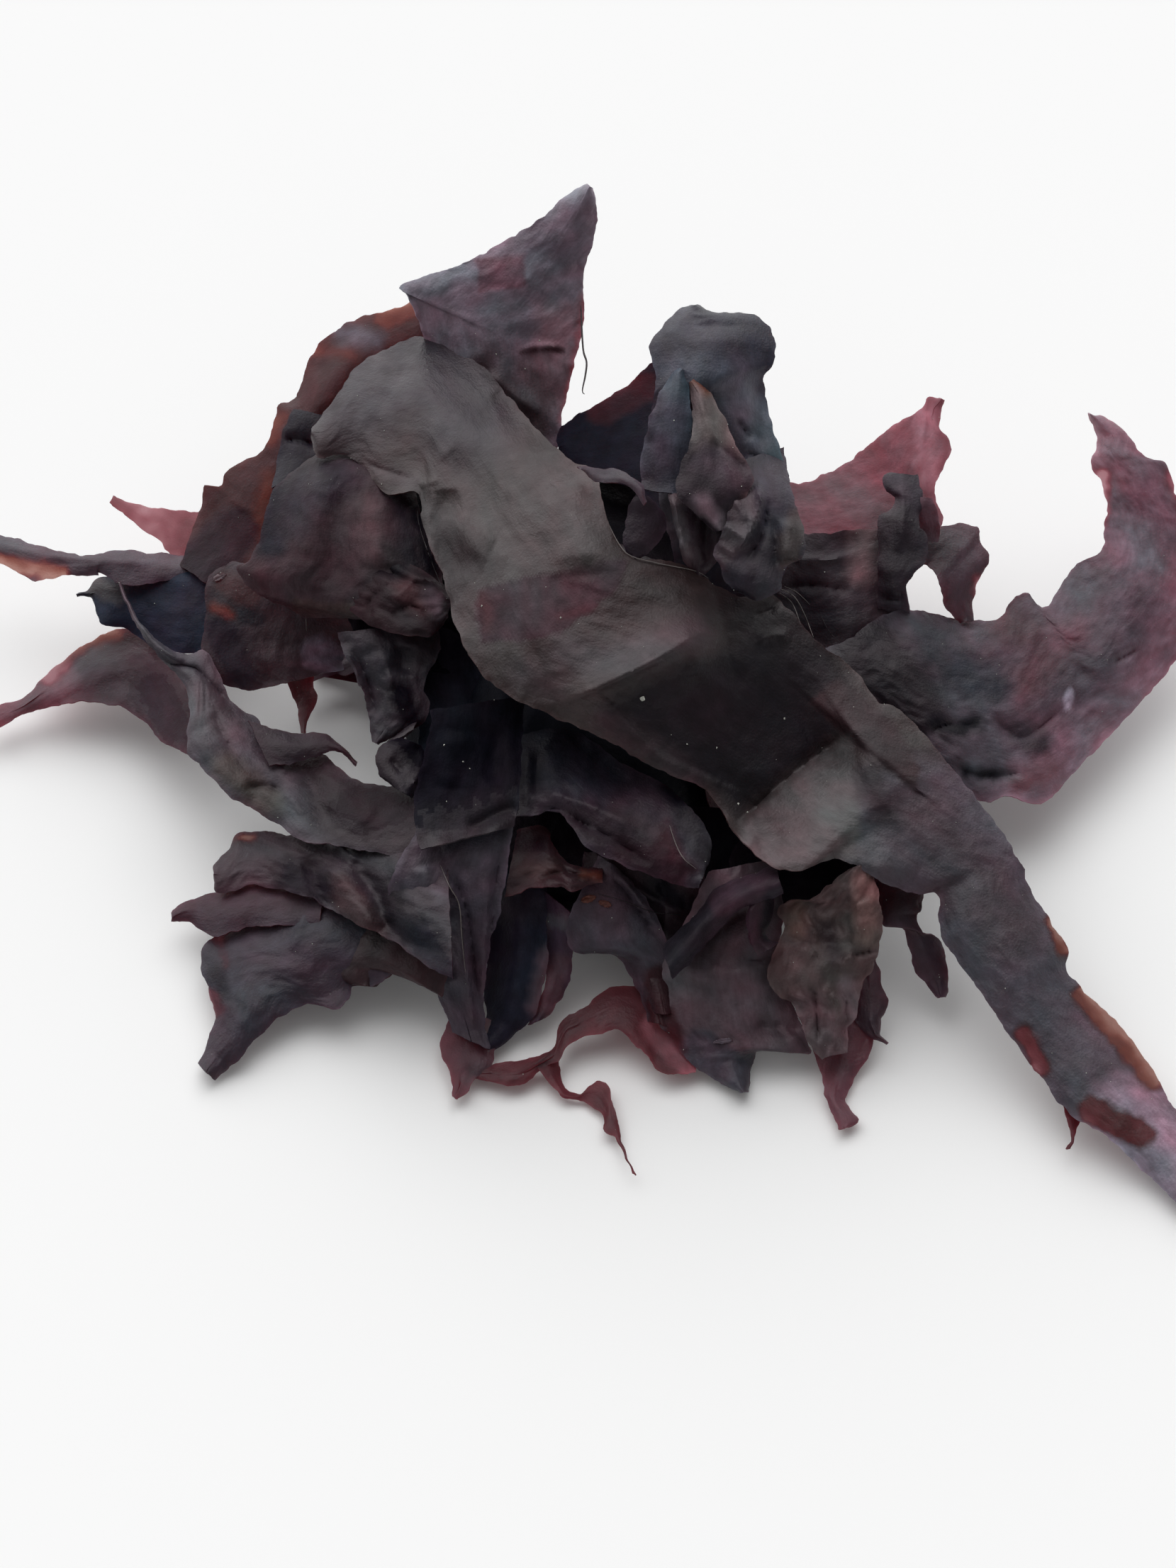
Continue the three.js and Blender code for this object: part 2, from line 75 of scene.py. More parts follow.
# Uneven forms and colours: strength, and length along and across
SWELL = (1.3, 36, 22)
FOLD = (0.3, 15, 9)
CREASE = (0.1, 6, 3.5)
RAG_BROAD = (1, 4, 4)
RAG_FINE = (0.5, 1.7, 1.7)
DEPTH_BROAD = (0.45, 14, 9)
DEPTH_FINE = (0.25, 4, 3)
SHADE_BROAD = (0.25, 20, 12)
SHADE_FINE = (0.2, 5, 3.5)
WARMTH_BROAD = (0.3, 24, 14)
WARMTH_FINE = (0.15, 7, 5)
PATCH_RAG = (0.8, 3, 3)
GLOSS_FLECK = (0.03, 2.6, 2.6)
STREAK_STEPS = (0.2, 0.9, 0.37)

# Light that gets through one layer of frond, for each pigment, and how many layers count
PIGMENTS = dict(purple=(0.23, 0.058, 0.072), orange=(0.24, 0.070, 0.050))
FEWEST_LAYERS = 0.5
MOST_LAYERS = 9
BRIGHTEST_THROUGH = 0.95

# Cool purple cast of the dried skin, its warmer spots, and how strongly each kind of skin mirrors; the
# weakest level is painted shade: it dims the reflections of fronds and hollows that lie in shade
SKIN_CAST = np.array([1.0, 0.94, 1.12])
WARM_SPOT = np.array([1, -0.35, -0.1])
GLOSS = dict(satin=0.40, sheer=0.32, soft=0.24, faint=0.17, matte=0.1, dull=0.03)
GLOSSES = list(GLOSS)
SHEEN_TINT = (1.0, 0.92, 0.95, 1.0)

# Surface colours, in thousandths; the darkest one is painted shade, used only for gaps, hollows and shadow
# lines
TONES = dict(
    black="4,3.5,6",
    blue="6,7,12",
    dark="21,10,14",
    grey="19,13,15",
    pale="32,27,29",
    mauve="42,34,42",
    brown="32,18,18",
    red="36,12,14",
)

# Fronds seen from the front. A frond's first line is its name and look: how far its middle rises, its
# surface colour, how many layers light passes, its pigment, how crumpled it is and its gloss.
# heights are over the table, at even steps along the frond; a slash parts left edge and right edge.
# left and right are the edges from root to tip. A point is across and down, in millimetres, on a plane
# square to the line of sight, from its top left corner; a bar starts the next stretch.
# round, crease and step are folds: rise, reach and line. patch is its reach, what changes there and its line,
# or its outline where it ends in z; besides the skin's own stains and colours, many patches paint shade or
# highlights, as listed below. An indented line goes on from the one above.
# On main, the dark patches in the valley, below the flap crease and down the left edge of the head are
# painted shade; the lighter flap facet and the lighter patch on the hump are painted highlights.
# Painted light: the pale patch on under_dome, the pale foot of ragged_prong and the pale lower left of cap
# lift places that lie in shade; the light streak along the ridge of cap_front and the light line along the
# bottom of cavity_face are painted highlights.
# Painted shade also: the dark line along the top_lobe crease, the dark strip down the right edge of dome, the
# black top of dome_crumple, the dark matte patches in the valleys of left_body, the dark overhung top, fold
# band and black gap of under_frond, the black lines in the horn creases, the dark lower face and left edge
# line of brown_leaf, the black strip and dark valley of cap_front, and the black marks on tube_fold and
# centre_back.
# Painted shade in the hollow left of the middle: the near-black tones of cavity, cavity_face and inner_curl,
# the black patches on inner_strip and inner_curl, and the darker top and bottom of cavity_face.
# The four near-black dull sheets under the left, top, middle and right of the clump are painted shade: dark
# fill where the gaps between the fronds lie in shade.
LAYOUT = """
main crown=3 tone=25,16.5,14 layers=4
heights 64 66/68 70/72 70/80 64/80 58/68 46/54 44/46 34/36 24 14 7 3
left 88,123 90,129 96,128 102,131 109,139 118,139 120,150 126,165 129,178 138,192 152,200 170,208 186,217
 198,222 203,228 209,237 | 209,237 218,244.5 226,245.5 236,242 250,249 258,252 265,252.5 266,264 277,280
 288,296 302,314 312,320 331,338 340,346
right 88,121 96,110 101,103 110,98 119,95 130,100 137,104 149,118 160,129 168,134 172,148 178,156.5 192,159
 208,168 218,167.5 230,180 241,189 248,198 | 248,198 256,202 277,227 288,243 290,250 301,267 302,275 320,294
 331,312 338,322 343,333 342,342
round 2 16 112,108 140,125 160,146 158,164
round -2.5 5 140,110 152,121 162,131
round -2.5 5 126,138 127,150 130,164
round -1.6 5 126,128 137,140 142,156
round 2 8 156,136 162,150 164,162
crease 1 0.9 118.4,137 121,136 124,135.4
round 2 5 123,146 131,151 139,155
crease -1 1.2 104,131 110,133 117,135
crease 6 12 157,198 172,192 184,186 194,180 204,177
crease 1.3 1.2 160,198 172,192.4 184,186.6 195,180.6
crease -9 11 240.6,206 224,218 206.6,233.6
crease 1.4 4 242,211 248,224 258,238
round 4 8 211,241 226,246 240,244 256,251
crease 1.5 1.4 210,230 214,236 216,242
crease -1.6 1.2 212,173 217,172 221,168
crease 1.6 1.2 213,181 219,179 223,180
step 1.3 5 258,222 244,210 231,199
step 1.6 7 174,200 186,212 200,219
round 2 10 258,232 290,275 330,335
patch 24 tone=56,50,56 soft=8 262,238 300,285 345,345
patch 9 tone=36,31,34 soft=8 264,238 284,262
patch 13 tone=250,195,215 soft=8 318,318 344,344
patch 9 tone=56,46,49 soft=6 258,228 250,240
patch 13 tone=14,10,14 soft=12 98,114 118,104 132,118
patch 0 tone=54,32,34 gloss=matte soft=1.6 135,166 147,163 160,161 170,157.6 177,158 175,165 170,170 163,175
 158,179 147,181 136,181 134,173 z
patch 1.2 tone=74,38,37 gloss=matte soft=3 136.4,168 138,177
patch 1 tone=66,31,33 gloss=matte 158,174 165,172
patch 5 tone=40,28,28 soft=5 160,184 175,186 196,178
patch 4 tone=36,21,22 gloss=soft soft=4 172,203 184,211 196,218
patch 2.2 tone=brown 104,131 116,136
patch 1.6 tone=red 126,154 129,157
patch 8 tone=36,28,24 soft=12 158,138 162,152
patch 4 tone=9,6,8 gloss=soft soft=16 208,170 226,184 214,186 z
patch 0 tone=11,8,9 gloss=soft soft=5 215,169 224,173 234,184 240,191 235,197 226,190 217,182 z
patch 0 tone=8,6,8 gloss=soft soft=6 171,199 190,188 203,184 218,182 232,186 242,198 239.6,204.8 224,216.8
 208,229.6 203,224 190,212 z
patch 0 tone=30,17,17 gloss=soft 229,198 236,191 244,197 252,203 260,217 259,223 250,217 240,209 z
patch 0 tone=12,8,8 gloss=soft soft=8 117,140 124,143 131,148 137,155 141,160 135,164 129,172 125,168
 121,156 z
patch 4 tone=48,37,35 soft=5 148,190 156,193
patch 0 tone=70,61,54 soft=3 240,206.6 230,213.8 220,223 209.4,232.4 209,238 218,244.5 228,245 236,242
 242,243 243,226 z
patch 4 tone=26,20,22 gloss=soft soft=6 245,219 249,230
patch 3.5 layers=1.2 pigment=orange 306,281 314,290 325,304
patch 4 layers=1.5 308,313 322,320
patch 2.5 layers=1.3 289,291 294,301
patch 2 layers=1.2 pigment=orange 297,260 300,268

top_lobe crown=2 tone=165,147,157 layers=4.4
heights 58/47 68/55.5 79.5/64.5 84.8/74 90/84 97/93.5 104
left 128,112 121,98 115.5,84 112.5,81 120,78 130,74.5 140,69.5 151,62.5 158,56.5 163,53 166,52
right 154,130 158,125 158.5,118 163,99.5 165,88 164.5,77 167,69 168.5,60 167.5,53
round 1.6 8 150,60 150,98
crease 1.5 3 138,105 146,112 152,116
crease 1.3 0.8 146,99 152,97.4 159,98
patch 0 tone=115,66,76 soft=1.2 134.6,73 148,71.6 148.6,81 135,82.4 z
patch 0 tone=290,200,205 layers=4 soft=5 152,86 164,86 160,118 150,112 z
patch 1.4 tone=220,140,145 layers=3 165,84 163,99 159,118
patch 4.5 tone=110,76,78 soft=6 148,104 154,111
patch 5 tone=84,77,86 soft=7 150,66 158,70
patch 4 tone=88,74,79 soft=6 138,98 142,102
patch 4 tone=50,32,34 soft=4 136,104 152,120
patch 0.6 tone=50,30,32 soft=1.2 147,99.4 153,98.4 159,98.8

shoulder crown=2 tone=44,23,22 layers=2.8 pigment=orange gloss=matte
heights 58 54 50 46 41 36 31 28
left 122,94 108,104 96,114 88,124 82,136 77,148 72,160 62,167
right 116,85 108,88 102,89.4 95,93 90,97 87.4,102 85,109 83,112.6 79,113.8 78,117 76,124 73,128 65,132
 62.4,137 58,136.8 57,142 55,148 51,159.5
round 2 5 106,96 90,112 78,130
patch 3 layers=1.6 116,87 109,90
patch 1.8 layers=1.8 soft=3 90,99 99,100
patch 2 layers=1.3 80,117 77,124
patch 2 tone=70,30,22 layers=2.2 soft=3 76,134 72,150
patch 7 tone=dark layers=3.5 66,150 58,158
patch 2.6 tone=85,78,84 layers=3.4 soft=4 97,94 106,96

dome crown=4 tone=37,23,24 layers=4 wrinkle=2 gloss=matte
heights 60 61 60 56 50 44
left 94,126 86,130.5 78,137.5 75,145 73.5,152 70,158 67,160.5 72,167 80,170.5 86,173.8
right 112,132 117,138 119,146 122,155 125,163 124,170 116,176 104,174.5
round 2 5 93,132 87,150 84,166
round -2 4.5 99,134 97,152 95,168
round 1.6 4 107,140 107,160
patch 2 tone=50,30,26 84,170.6 96,172 108,171.6
patch 3.4 tone=56,36,35 soft=5 103,142 106,158
patch 3 tone=12,8,11 soft=5 112,139 117,158
patch 2.4 tone=black gloss=matte 117,140 122,160
patch 4 tone=blue soft=4 79,140 77,154
patch 6 tone=20,14,19 soft=6 82,146 88,138 96,134

under_dome crown=2 tone=33,20,23 layers=3.4 gloss=soft
heights 40 34 29 25
left 66,158 59,163 58,174 57,184 60,191 70,195
right 106,172 104,178 99,182 97,186 97,188.6
patch 1.6 tone=160,45,28 layers=0.9 pigment=orange 61,171.5 65,173.5
patch 3.5 tone=50,24,24 layers=2.4 64,164 70,168
patch 2.2 tone=blue 69,173 73,175
patch 6 tone=12,10,14 gloss=matte soft=6 62,178 68,189
patch 4 tone=200,165,185 layers=5 soft=4 90,184 97,188

dome_crumple crown=2 tone=19,11,12 layers=4 crumple=1.4 wrinkle=4 gloss=matte
heights 56 59 59 56
left 100,157 106,154 112,157 118,160 124,164 128,168
right 99,172 105,176.5 112,178.5 118,179.5 123,178.5 126,174
crease -1.6 0.8 108,166 104.4,170 105,174
crease -1.6 0.8 107,157 111,162 118,165
crease 1.4 0.9 112,169 118,163 124,166
crease -1.4 0.8 110,174 116,171 122,174
crease 1.2 0.7 103,161 109,164 113,171
patch 3 tone=46,20,20 soft=4 114,166 119,170
patch 2.6 tone=115,85,88 soft=4 122,168 126,173
patch 3 tone=black soft=4 104,158 112,160

pink_wedge crown=0.5 tone=red layers=1
heights 24 25 27
left 62,147 56,144.4 50,143.8 40,142.6 32,139.8
right 58,162 51,157 48,156 45,152 40,149 31,141.4

left_strip crown=1 tone=mauve layers=3
heights 26 27.5 29 28.5 28 29
left 56,158 50,156.4 41,155.8 35,155 30,155.8 24,156.8 19,155.8 10,153.6 3,151.4 -7,149.5
right 55,162 49,163.2 40,164.8 33,164.4 32,163 28,161.4 27,162.4 18,162.2 12,163.4 8,163 4,160.6 -7,156
crease 1.5 2 -6,151 10,156 30,158 48,159
patch 2.5 tone=red layers=1.1 pigment=orange -6,157 8,160 17,161.5

dark_wedge crown=1 tone=13,19,30 layers=4 gloss=matte
heights 28/20 27/19 26/18 23 22
left 62,160 52,161 42,162 33,163 28,162.6 25,166 22,167.4
right 62,184 50,184 42,181 36,177.6 29,176 27.4,173 27,170 25,168 22.2,168
patch 2.6 tone=pale gloss=soft 27,165 33,168

left_diagonal crown=2 tone=56,47,50 layers=4 wrinkle=2 gloss=soft
heights 36 31 28 27 28 30 31 30 28
left 120,243 104,240 92,238 84,236.5 81,233.5 78,232 72,228.4 65,224.4 60,219.4 56,215 53,211.6 53.6,200
 52.4,193 47,187 41,180 37,173 33.4,165
right 120,217 114,221 108.6,221.6 103,221 97,217.6 91,212.6 84,208 76,205.6 72,202 68,200 65,197 62.6,192
 60,186.4 57.4,183.4 52,184.6 45,181 40,176 36.4,170 34,164
crease -2.2 1.1 41,181 47,186.5 55,188.4 59,192 66.6,200.4
crease 1.6 1.6 38,174 46,183 52,186
crease -1.6 1 60.4,201 64,209 67,212
round 1.5 4 56,206 62,216 72,224
crease 1.2 1 76,213 81,218
crease 1.2 1 80,222 86,230
crease -1.6 1.2 69,222.4 76,221.6 80,223.6
round -2.5 4 82,208 88,222 94,236
round 1 5 96,222 106,230
patch 4 tone=52,37,30 soft=4 64,216 76,226
patch 4 tone=84,71,70 soft=6 56,197 62,206
patch 4 tone=34,29,33 soft=6 46,182 52,188
patch 0 tone=15,9,11 gloss=soft soft=7 84,209 97,217 103,220 112,220 121,216 121,244 104,241 92,239 87,230 z
patch 0 tone=15,9,11 gloss=matte soft=4 98,220 112,222 121,230 104,236 94,228 z

left_red_tip crown=1 tone=36,20,25 layers=2.8 gloss=soft
heights 20 17 14 11 9 8
left 56,200 48,186 39,178.5 33,177.7 26,180.6 18,186.2 12,191.4 7,196.6 0,199 -5,203
right 54,213 46,209 40,203 35,199.5 26,198 18,198.5 8,201 0,205 -5,206.5
round 2 4 44,186 26,190 4,201
crease -1 2 30,180 14,193
patch 2.2 layers=1.4 pigment=orange 33,179 24,182 14,191
patch 2.6 tone=20,16,21 soft=4 14,190 26,187
patch 6 tone=20,15,20 gloss=matte soft=6 44,194 50,205
patch 6 tone=85,58,63 layers=2 soft=5 16,193 -4,202

left_dangle crown=0.5 tone=red layers=2.6
heights 22 19 17 16
left 79,184 82,194 84.5,201 85,206.5
right 90,184 88.5,193 89.5,197 87,203 86.5,206.5

hook crown=1 tone=dark layers=3.4 gloss=soft
heights 30 31 31 30
left 70,203 79,206 85,207 90,206.5 95,209 101,215
right 76,216 84,215 91,212.5 94,211.5 97,212.5 100.5,216

left_body crown=2 tone=28,21,24 layers=4 wrinkle=3 gloss=soft
heights 38 34 29 25 22 19 16 14
left 126,237 116,238 108,236.5 100,236 92,235.6 86,235.4 80,235.4 76,234.6 70,234.4 66.5,235.6 65,239
 62,242.6 60.4,244
right 128,276 120,272 112,266 104,262 96,258 90,254.5 87.4,252.7 83,252 78,250.4 71,249.6 66,251 61.4,251.6
 60.6,248
round -3.5 3 100,243 106,252 109,260 116,266 126,270
round -2.5 3 87,241 90,250 94,258
round 2.5 3.5 94,244 100,254 108,262
crease 1.6 1 93,238 97,239 100.4,243
round 2 4 112,236 113,248
patch 8 tone=44,28,31 soft=5 66,244 78,242
patch 4 tone=brown 95,250 106,261
patch 5 tone=10,8,11 gloss=matte soft=5 83,247 90,250
patch 4.5 tone=13,10,12 gloss=matte soft=5 110,254 116,262
patch 2.6 tone=56,50,54 soft=3 121,247 124,252
patch 5 tone=10,9,13 gloss=matte soft=5 119,264 127,277
patch 1.2 layers=1.1 pigment=orange 67,236.4 72,236

left_point crown=1 tone=40,24,30 layers=2.8 gloss=soft
heights 18 16 14 11 9
left 92,250 80,248 70,249 61,251.6 57,253 52,254.4 48.6,257.6
right 90,261 84,261 78,261 72,261 66,262.6 60,264 56.4,262 53.6,260 48.6,259.6

big_lobe crown=2 tone=32,28,34 layers=3.4 wrinkle=2 gloss=soft
heights 20 15 11 8 5 3
left 104,246 92,252 80,258 68,261 58,266 57,272 58.5,278 61,286.5 59,293 56,300
right 120,266 112,273.5 106,277.5 99.5,278 98.5,282 95,284.5 88,283 82,285 75,290 68,298 60.5,304.5
round 2 8 100,258 82,274 62,298
crease 1.5 1.5 88,254 86,258 84,264 82,268
patch 1.5 layers=1.7 61.6,262 64,272
patch 2.6 layers=1.25 59,281 62,284.6
patch 2.2 tone=blue 61,274 63,278

inner_strip crown=1.5 tone=26,21,24 layers=4 wrinkle=3 gloss=soft
heights 52 49 45 41 38
left 95,178 97,183 100,189 103,197 104.5,204 105.5,209
right 124,176 124,184 121,190 119.6,194 121,198 120,203 115,206 110,208 107,210
crease 2 1.1 96.4,182 101,190 104,200
crease -1.6 1.1 99,183 103.4,191 106,201
crease 1.2 1.6 108,184 111,194
round -2 3 115,182 113,190
patch 3 tone=black gloss=dull soft=3 113,195 117,205

inner_curl crown=2 tone=10,8,11 layers=5 gloss=soft
heights 41 40 39 38
left 113,208 108,210 106,214 107,218 110,221
right 119,210 120.5,216 118,221 116.5,225
crease 1.6 1.2 119,211 119,217 115,223
crease -1.6 1.4 110,214 114,218
patch 3.4 tone=black gloss=dull soft=3 114,208 119,214

cavity crown=-2 tone=16,17,23 layers=6 gloss=dull
heights 46 40 36 34
left 118,176 116,190 118,204 118,222
right 150,180 156,194 158,206 152,224

pleats crown=2 tone=46,38,44 layers=5 wrinkle=2 gloss=soft
heights 42 38 31 22 12 6
left 118,234 112,244 110,252 114,260 119,268 124,281 128,291
right 145,230 143.5,243 142,252 141,258 139,263 138,268 137,276 136.5,284 138,296
crease 2.2 0.9 124,243 127,250 130,256 131,264 132,276 134,290
crease -1.8 0.9 126,243 129.6,251 132,258 133.4,268 135,282
round -3 3 108,248 111,258 116,264 124,270 128,276
round 2 3 120,244 122,252
crease 1.4 1.2 138,246 137,262 136,280
crease 1.3 0.9 115,247 119,258 126,272
crease -1.4 0.9 141.4,238 139.4,256 137.6,272
patch 3 tone=70,60,66 120,244 124,250

dark_blade crown=2 tone=13,13,20 layers=5 gloss=matte
heights 27 22 16 10 6 4
left 141,246 139,262 137.5,272 137,280 137.5,288 134,294
right 155,247 154,262 155,270 153,278 151,286 145,292 139,296.5
round 2 4 147,252 146,272 143,288
patch 4 tone=24,22,29 soft=4 142,254 150,256
patch 3 tone=80,52,58 layers=2.8 soft=3 155,270 152,284

purple_narrow crown=1 tone=40,22,34 layers=3.2 gloss=soft
heights 26 19 13 9 6
left 152,250 153,258 153,268 154,276 152,283 149,289
right 161,257 162,262 161.5,270 161,276 158,282 154,287
patch 2 tone=75,60,66 155,259 159,260
patch 3 tone=75,46,52 layers=2.4 158,272 154,284

red_foot crown=0.5 tone=66,30,36 layers=2
heights 6 5 3.5 2.5
left 128,284 124.5,295 126,300.5 127,303 128,309
right 140,288 139,300 134.5,304 132,308 129,310

red_loop crown=0.5 tone=50,18,20 layers=1.9
heights 4 6 9 9 7 5 4 3
left 200,290 189,283 182,279 174,278 168,281.5 163,285.5 160,286.5 157.5,291 156.5,295.5 150,298.5 140,300
 131,302
right 196,302 187,302.5 182,297 179,294 175,290.5 169,291.5 164,292.5 160,295 157.5,299 152,302 147,306
 140,305.5 133,303.5
patch 5 tone=200,82,88 layers=1.3 186,290 196,300

red_thread crown=0.3 tone=50,18,20 layers=1.8
heights 5 3 2.5 3 3 2 2
left 157,296 158.5,304 160,307.5 164,308.5 167,306 169.5,305 172,307 174.5,316 175.5,322 178.6,331
right 151,300 158,308.5 161,310 164.5,310.5 170,314.5 170.5,319 174,321 177,327 179.6,331.5

under_frond crown=2 tone=27,21,26 layers=5 wrinkle=2 gloss=soft
heights 38/37 45 48 44 39
left 140,206 150,203 160,204 174,214 187,221 196,229 200,235 200.4,242 199,245
right 140,231 152,229.4 158,229 162,234 166,239 172,242 178,245 188,248.4 194,250 197,250.4
round 1 1.6 149,211 149,227
round -1 1.5 151.6,213 151.6,224
round -2 6 158,206 170,216 180,226
crease -2 1.3 150,230.5 156,228 160,229 167,234
crease 1.8 1.4 152,223 166,227 180,234
crease -1.4 1.2 160,230 172,236 184,244
crease 1.6 0.9 188.6,231 190.8,238 193,242 196.6,245
patch 0 tone=13,13,17 gloss=matte soft=6 142,204 160,204 174,214 182,222 170,224 154,222 143,226 z
patch 0 tone=38,14,17 gloss=matte soft=4 182,238 188.6,231.4 191,237 193,241.6 197,245.4 190,248 182,244 z
patch 5 tone=20,10,13 gloss=matte soft=6 164,231 178,240 190,248
patch 3 tone=black gloss=dull soft=4 189,222 196,231
patch 2 tone=34,20,23 soft=5 174,229 183,235
patch 3 tone=15,12,15 soft=4 194,230 199,241

orange_scrap crown=1 tone=30,15,16 layers=3.4 crumple=1.6 wrinkle=4 gloss=soft
heights 31 34 35 34
left 146,234 154,233 156,238 159,242 163,244.4 170,244.6
right 142.5,253 147,251.5 150,250.4 158,250 161,251.3 165,250 170,248.6
crease 1.6 1.2 146,243 152,240 157,243
crease -1.4 1 150,249 158,246 166,247
patch 1.2 tone=100,42,26 layers=1.6 pigment=orange 165,246.6 169,247
patch 3 tone=dark soft=4 146,237 152,238
patch 2 tone=60,32,28 soft=3 148,246 156,245

centre_leaf crown=2 tone=52,40,46 layers=4 gloss=soft
heights 33 28 23 18 13 9
left 169,241 165,250 161,257 160,263 162,268.4 173,268.8 178,275 181,281 183,288
right 176,246 182,253 187,262 189,268 189.6,273 189,278 188,282 189,286 190,290
crease -1.6 1 173,247 180,256 185,264
crease 1.2 1 174.4,246 181.4,255 186,262
patch 4 tone=red layers=2.4 186,276 187,288

dark_tube crown=4 tone=19,15,18 layers=6 gloss=matte
heights 40 37 33 29 25
left 219,244 210,247 202,251 197,257 192,262 189,265 187,268
right 221,252 212,255 207,258 204,261 200,265 196,270 190,276
patch 4 tone=38,21,26 216,247 204,254

bottom_centre crown=3 tone=80,57,59 layers=3.6 wrinkle=2 gloss=soft
heights 34 28 20 13 7 4 3
left 200,246 192,262 187,270 187,280 186,288 190,293 194,299 203,305 209,308
right 218,242 221,256 220,266 221,276 226,289 229,297 222,295.5 214,296 212,302 211,308
round -3 2.4 212,255 204,261 197,269
round 1.6 3 190,272 204,275 218,272
crease -1.6 1 210,271 215,271 220,270
round -2 2.5 212,289 226,291
crease 1.6 1.4 220,289 225,294
patch 2.5 tone=red layers=1.8 188,286 192,296
patch 6 tone=50,48,54 198,296 208,304
patch 3 tone=115,78,80 soft=4 190,274 194,280

dry_brown crown=2 tone=64,47,40 layers=4 crumple=2 wrinkle=2.5 gloss=soft
heights 40 35 29 22 15 9
left 240,245 235,248.6 231,252 228,254 223,254 219.6,256.6 221.4,261 219.6,266 217.4,271 217,276 220,280.6
 224,283 226,288 228,294 232,298.6
right 245,243 247.6,250 249,258 248.6,264 248,268 246.4,273 243,278 241.6,286 239.4,290 239,296.6
round -2 4 238,250 236,262 232,270
crease -2 1.2 240.6,269.4 246.6,268
crease 1.8 0.9 237,273 240.6,269
crease -1.6 1.1 230,276 231,294
crease 1.6 1.1 235,277 236,296
crease -1.6 1.1 239,280 238,294
crease 1.6 1.1 226,256 230,264 228,272
crease 1.4 1 240,250 243,258 241,266
crease -1.4 1 222,264 228,266 232,272
patch 2.6 tone=125,77,58 soft=3 225,256 225,262
patch 3.2 tone=145,88,70 soft=3 244,249 245,264
patch 4 tone=80,59,51 soft=3 226,270 230,276
patch 6 tone=92,68,64 soft=4 228,286 238,296
patch 2.4 tone=22,14,14 soft=3 233,262 236,270
patch 2.6 tone=125,88,85 soft=3 239,278 242,289

red_leg crown=1 tone=85,48,54 layers=2
heights 8 6 4 3 2.5
left 228,286 230,298 232,304 233.5,311 235.5,315 236.5,318.5
right 247,285 246.5,293 245,298 241,304 238.5,310.5 242,315.5 240,318

dark_leaf crown=1 tone=40,24,30 layers=3
heights 17 12 9 7
left 238,266 241,280 241.5,288 246,292.5 250.5,294.5
right 246,264 249,278 250.5,283 248.5,288 248.5,292 251,294

right_dangle crown=1 tone=40,26,33 layers=3.4
heights 32 26 20 14 9
left 246,242 249,260 254,260.5 256,265 258,273 261,277 264.5,281.5
right 262,244 260,256 258.5,258 260,263 265,264.5 267,271 267.5,278 267,281
patch 5 tone=14,10,14 250,252 260,258

thorn crown=0.3 tone=red layers=2
heights 9 7 5
left 297,303 302,318 301,324
right 309,307 303.5,319 302,324

horn crown=3 tone=80,62,69 layers=3.2 wrinkle=2 gloss=soft
heights 44/38 44/31 41/25 35/19 31/16 29/16 28/19 30/25 35/34 42 47
left 228,183 238,181 248,174 258,172 274,175 282,174 285,170 289.5,167 292,170 296,170.5 303,160 311,155
 311.5,148 312.5,144 311,136 308,131 309.5,124 307.3,116.3
right 232,194 241,199 254,206 266,218 277,226 284,224.5 292,226.5 298,224 302,219 320,200 332,186 338,176
 340,160 338,148 332,140 329,131 322,128 318,122 312,118 308.5,116.8
round 2 7 250,180 262,200 276,220
crease -2.2 2.4 280,202 288,208 300,200
crease -2 1.6 262,206 270,204 276,206
crease -1.6 1.2 273,218 280,219 288,218
crease -1.6 1 314,187 321,183
round 2.5 9 312,150 318,176 306,200
patch 10 tone=11,9,11 layers=4.5 soft=6 244,182 258,198
patch 2.4 tone=7,7,9 layers=5 gloss=matte soft=3 264,204 270,206 275,204
patch 1.6 tone=6,6,8 layers=5 gloss=matte soft=2.4 273,217.4 280,218.6 287,217.6
patch 1 tone=330,310,330 layers=4 soft=1.2 302,195 301,199.4
patch 9 tone=200,145,160 layers=2.3 soft=7 340,160 334,180 318,200 292,224
patch 11 tone=165,125,134 layers=2.8 gloss=matte soft=6 310,120 318,140 326,156
patch 7 tone=230,175,185 layers=2.6 soft=6 309,119 315,132
patch 2 layers=1.8 311,134 311,146
patch 2 layers=1.8 330,134 336,146
patch 5 tone=80,52,55 layers=2.9 soft=5 284,176 297,182 290,192
patch 4 tone=125,80,87 layers=2.7 soft=4 298,180 303,178
patch 6 tone=36,32,36 layers=4 soft=6 262,180 272,192
patch 6 tone=28,25,31 layers=4 soft=5 273,190 280,194
patch 4 tone=24,20,24 layers=4 soft=4 287,206 293,210
patch 4 tone=150,92,100 layers=2.6 soft=4 288,219 296,217

right_triangle crown=1 tone=150,83,86 layers=1.9 gloss=matte
heights 50 49 48 50 54 57
left 214,136 227,136 233,133.5 240,130 250,121.5 260,115 262,112.5 265,112
right 216,154 238,152 262,150 266,147 264,141 264,136 268.5,126.5 265,120 266.3,112.5
crease 1.2 1.5 262,116 260,126 262,140
patch 3 tone=300,200,205 layers=1.3 soft=4 262,118 262,134

ragged_base crown=1 tone=31,22,25 layers=4 wrinkle=1.5 gloss=soft
heights 54/41 53.4/37 52/36 49/37
left 218,148 230,150.4 240,149.4 253,148.6
right 214,176 228,184 240,184 254,177
crease 1.2 1 222,157 232,158 242,156
crease -1.2 1.2 220,166 230,165 240,167
patch 3.6 tone=145,98,90 soft=5 244,150 243,161
patch 5 tone=14,10,13 gloss=matte soft=5 228,166 232,174

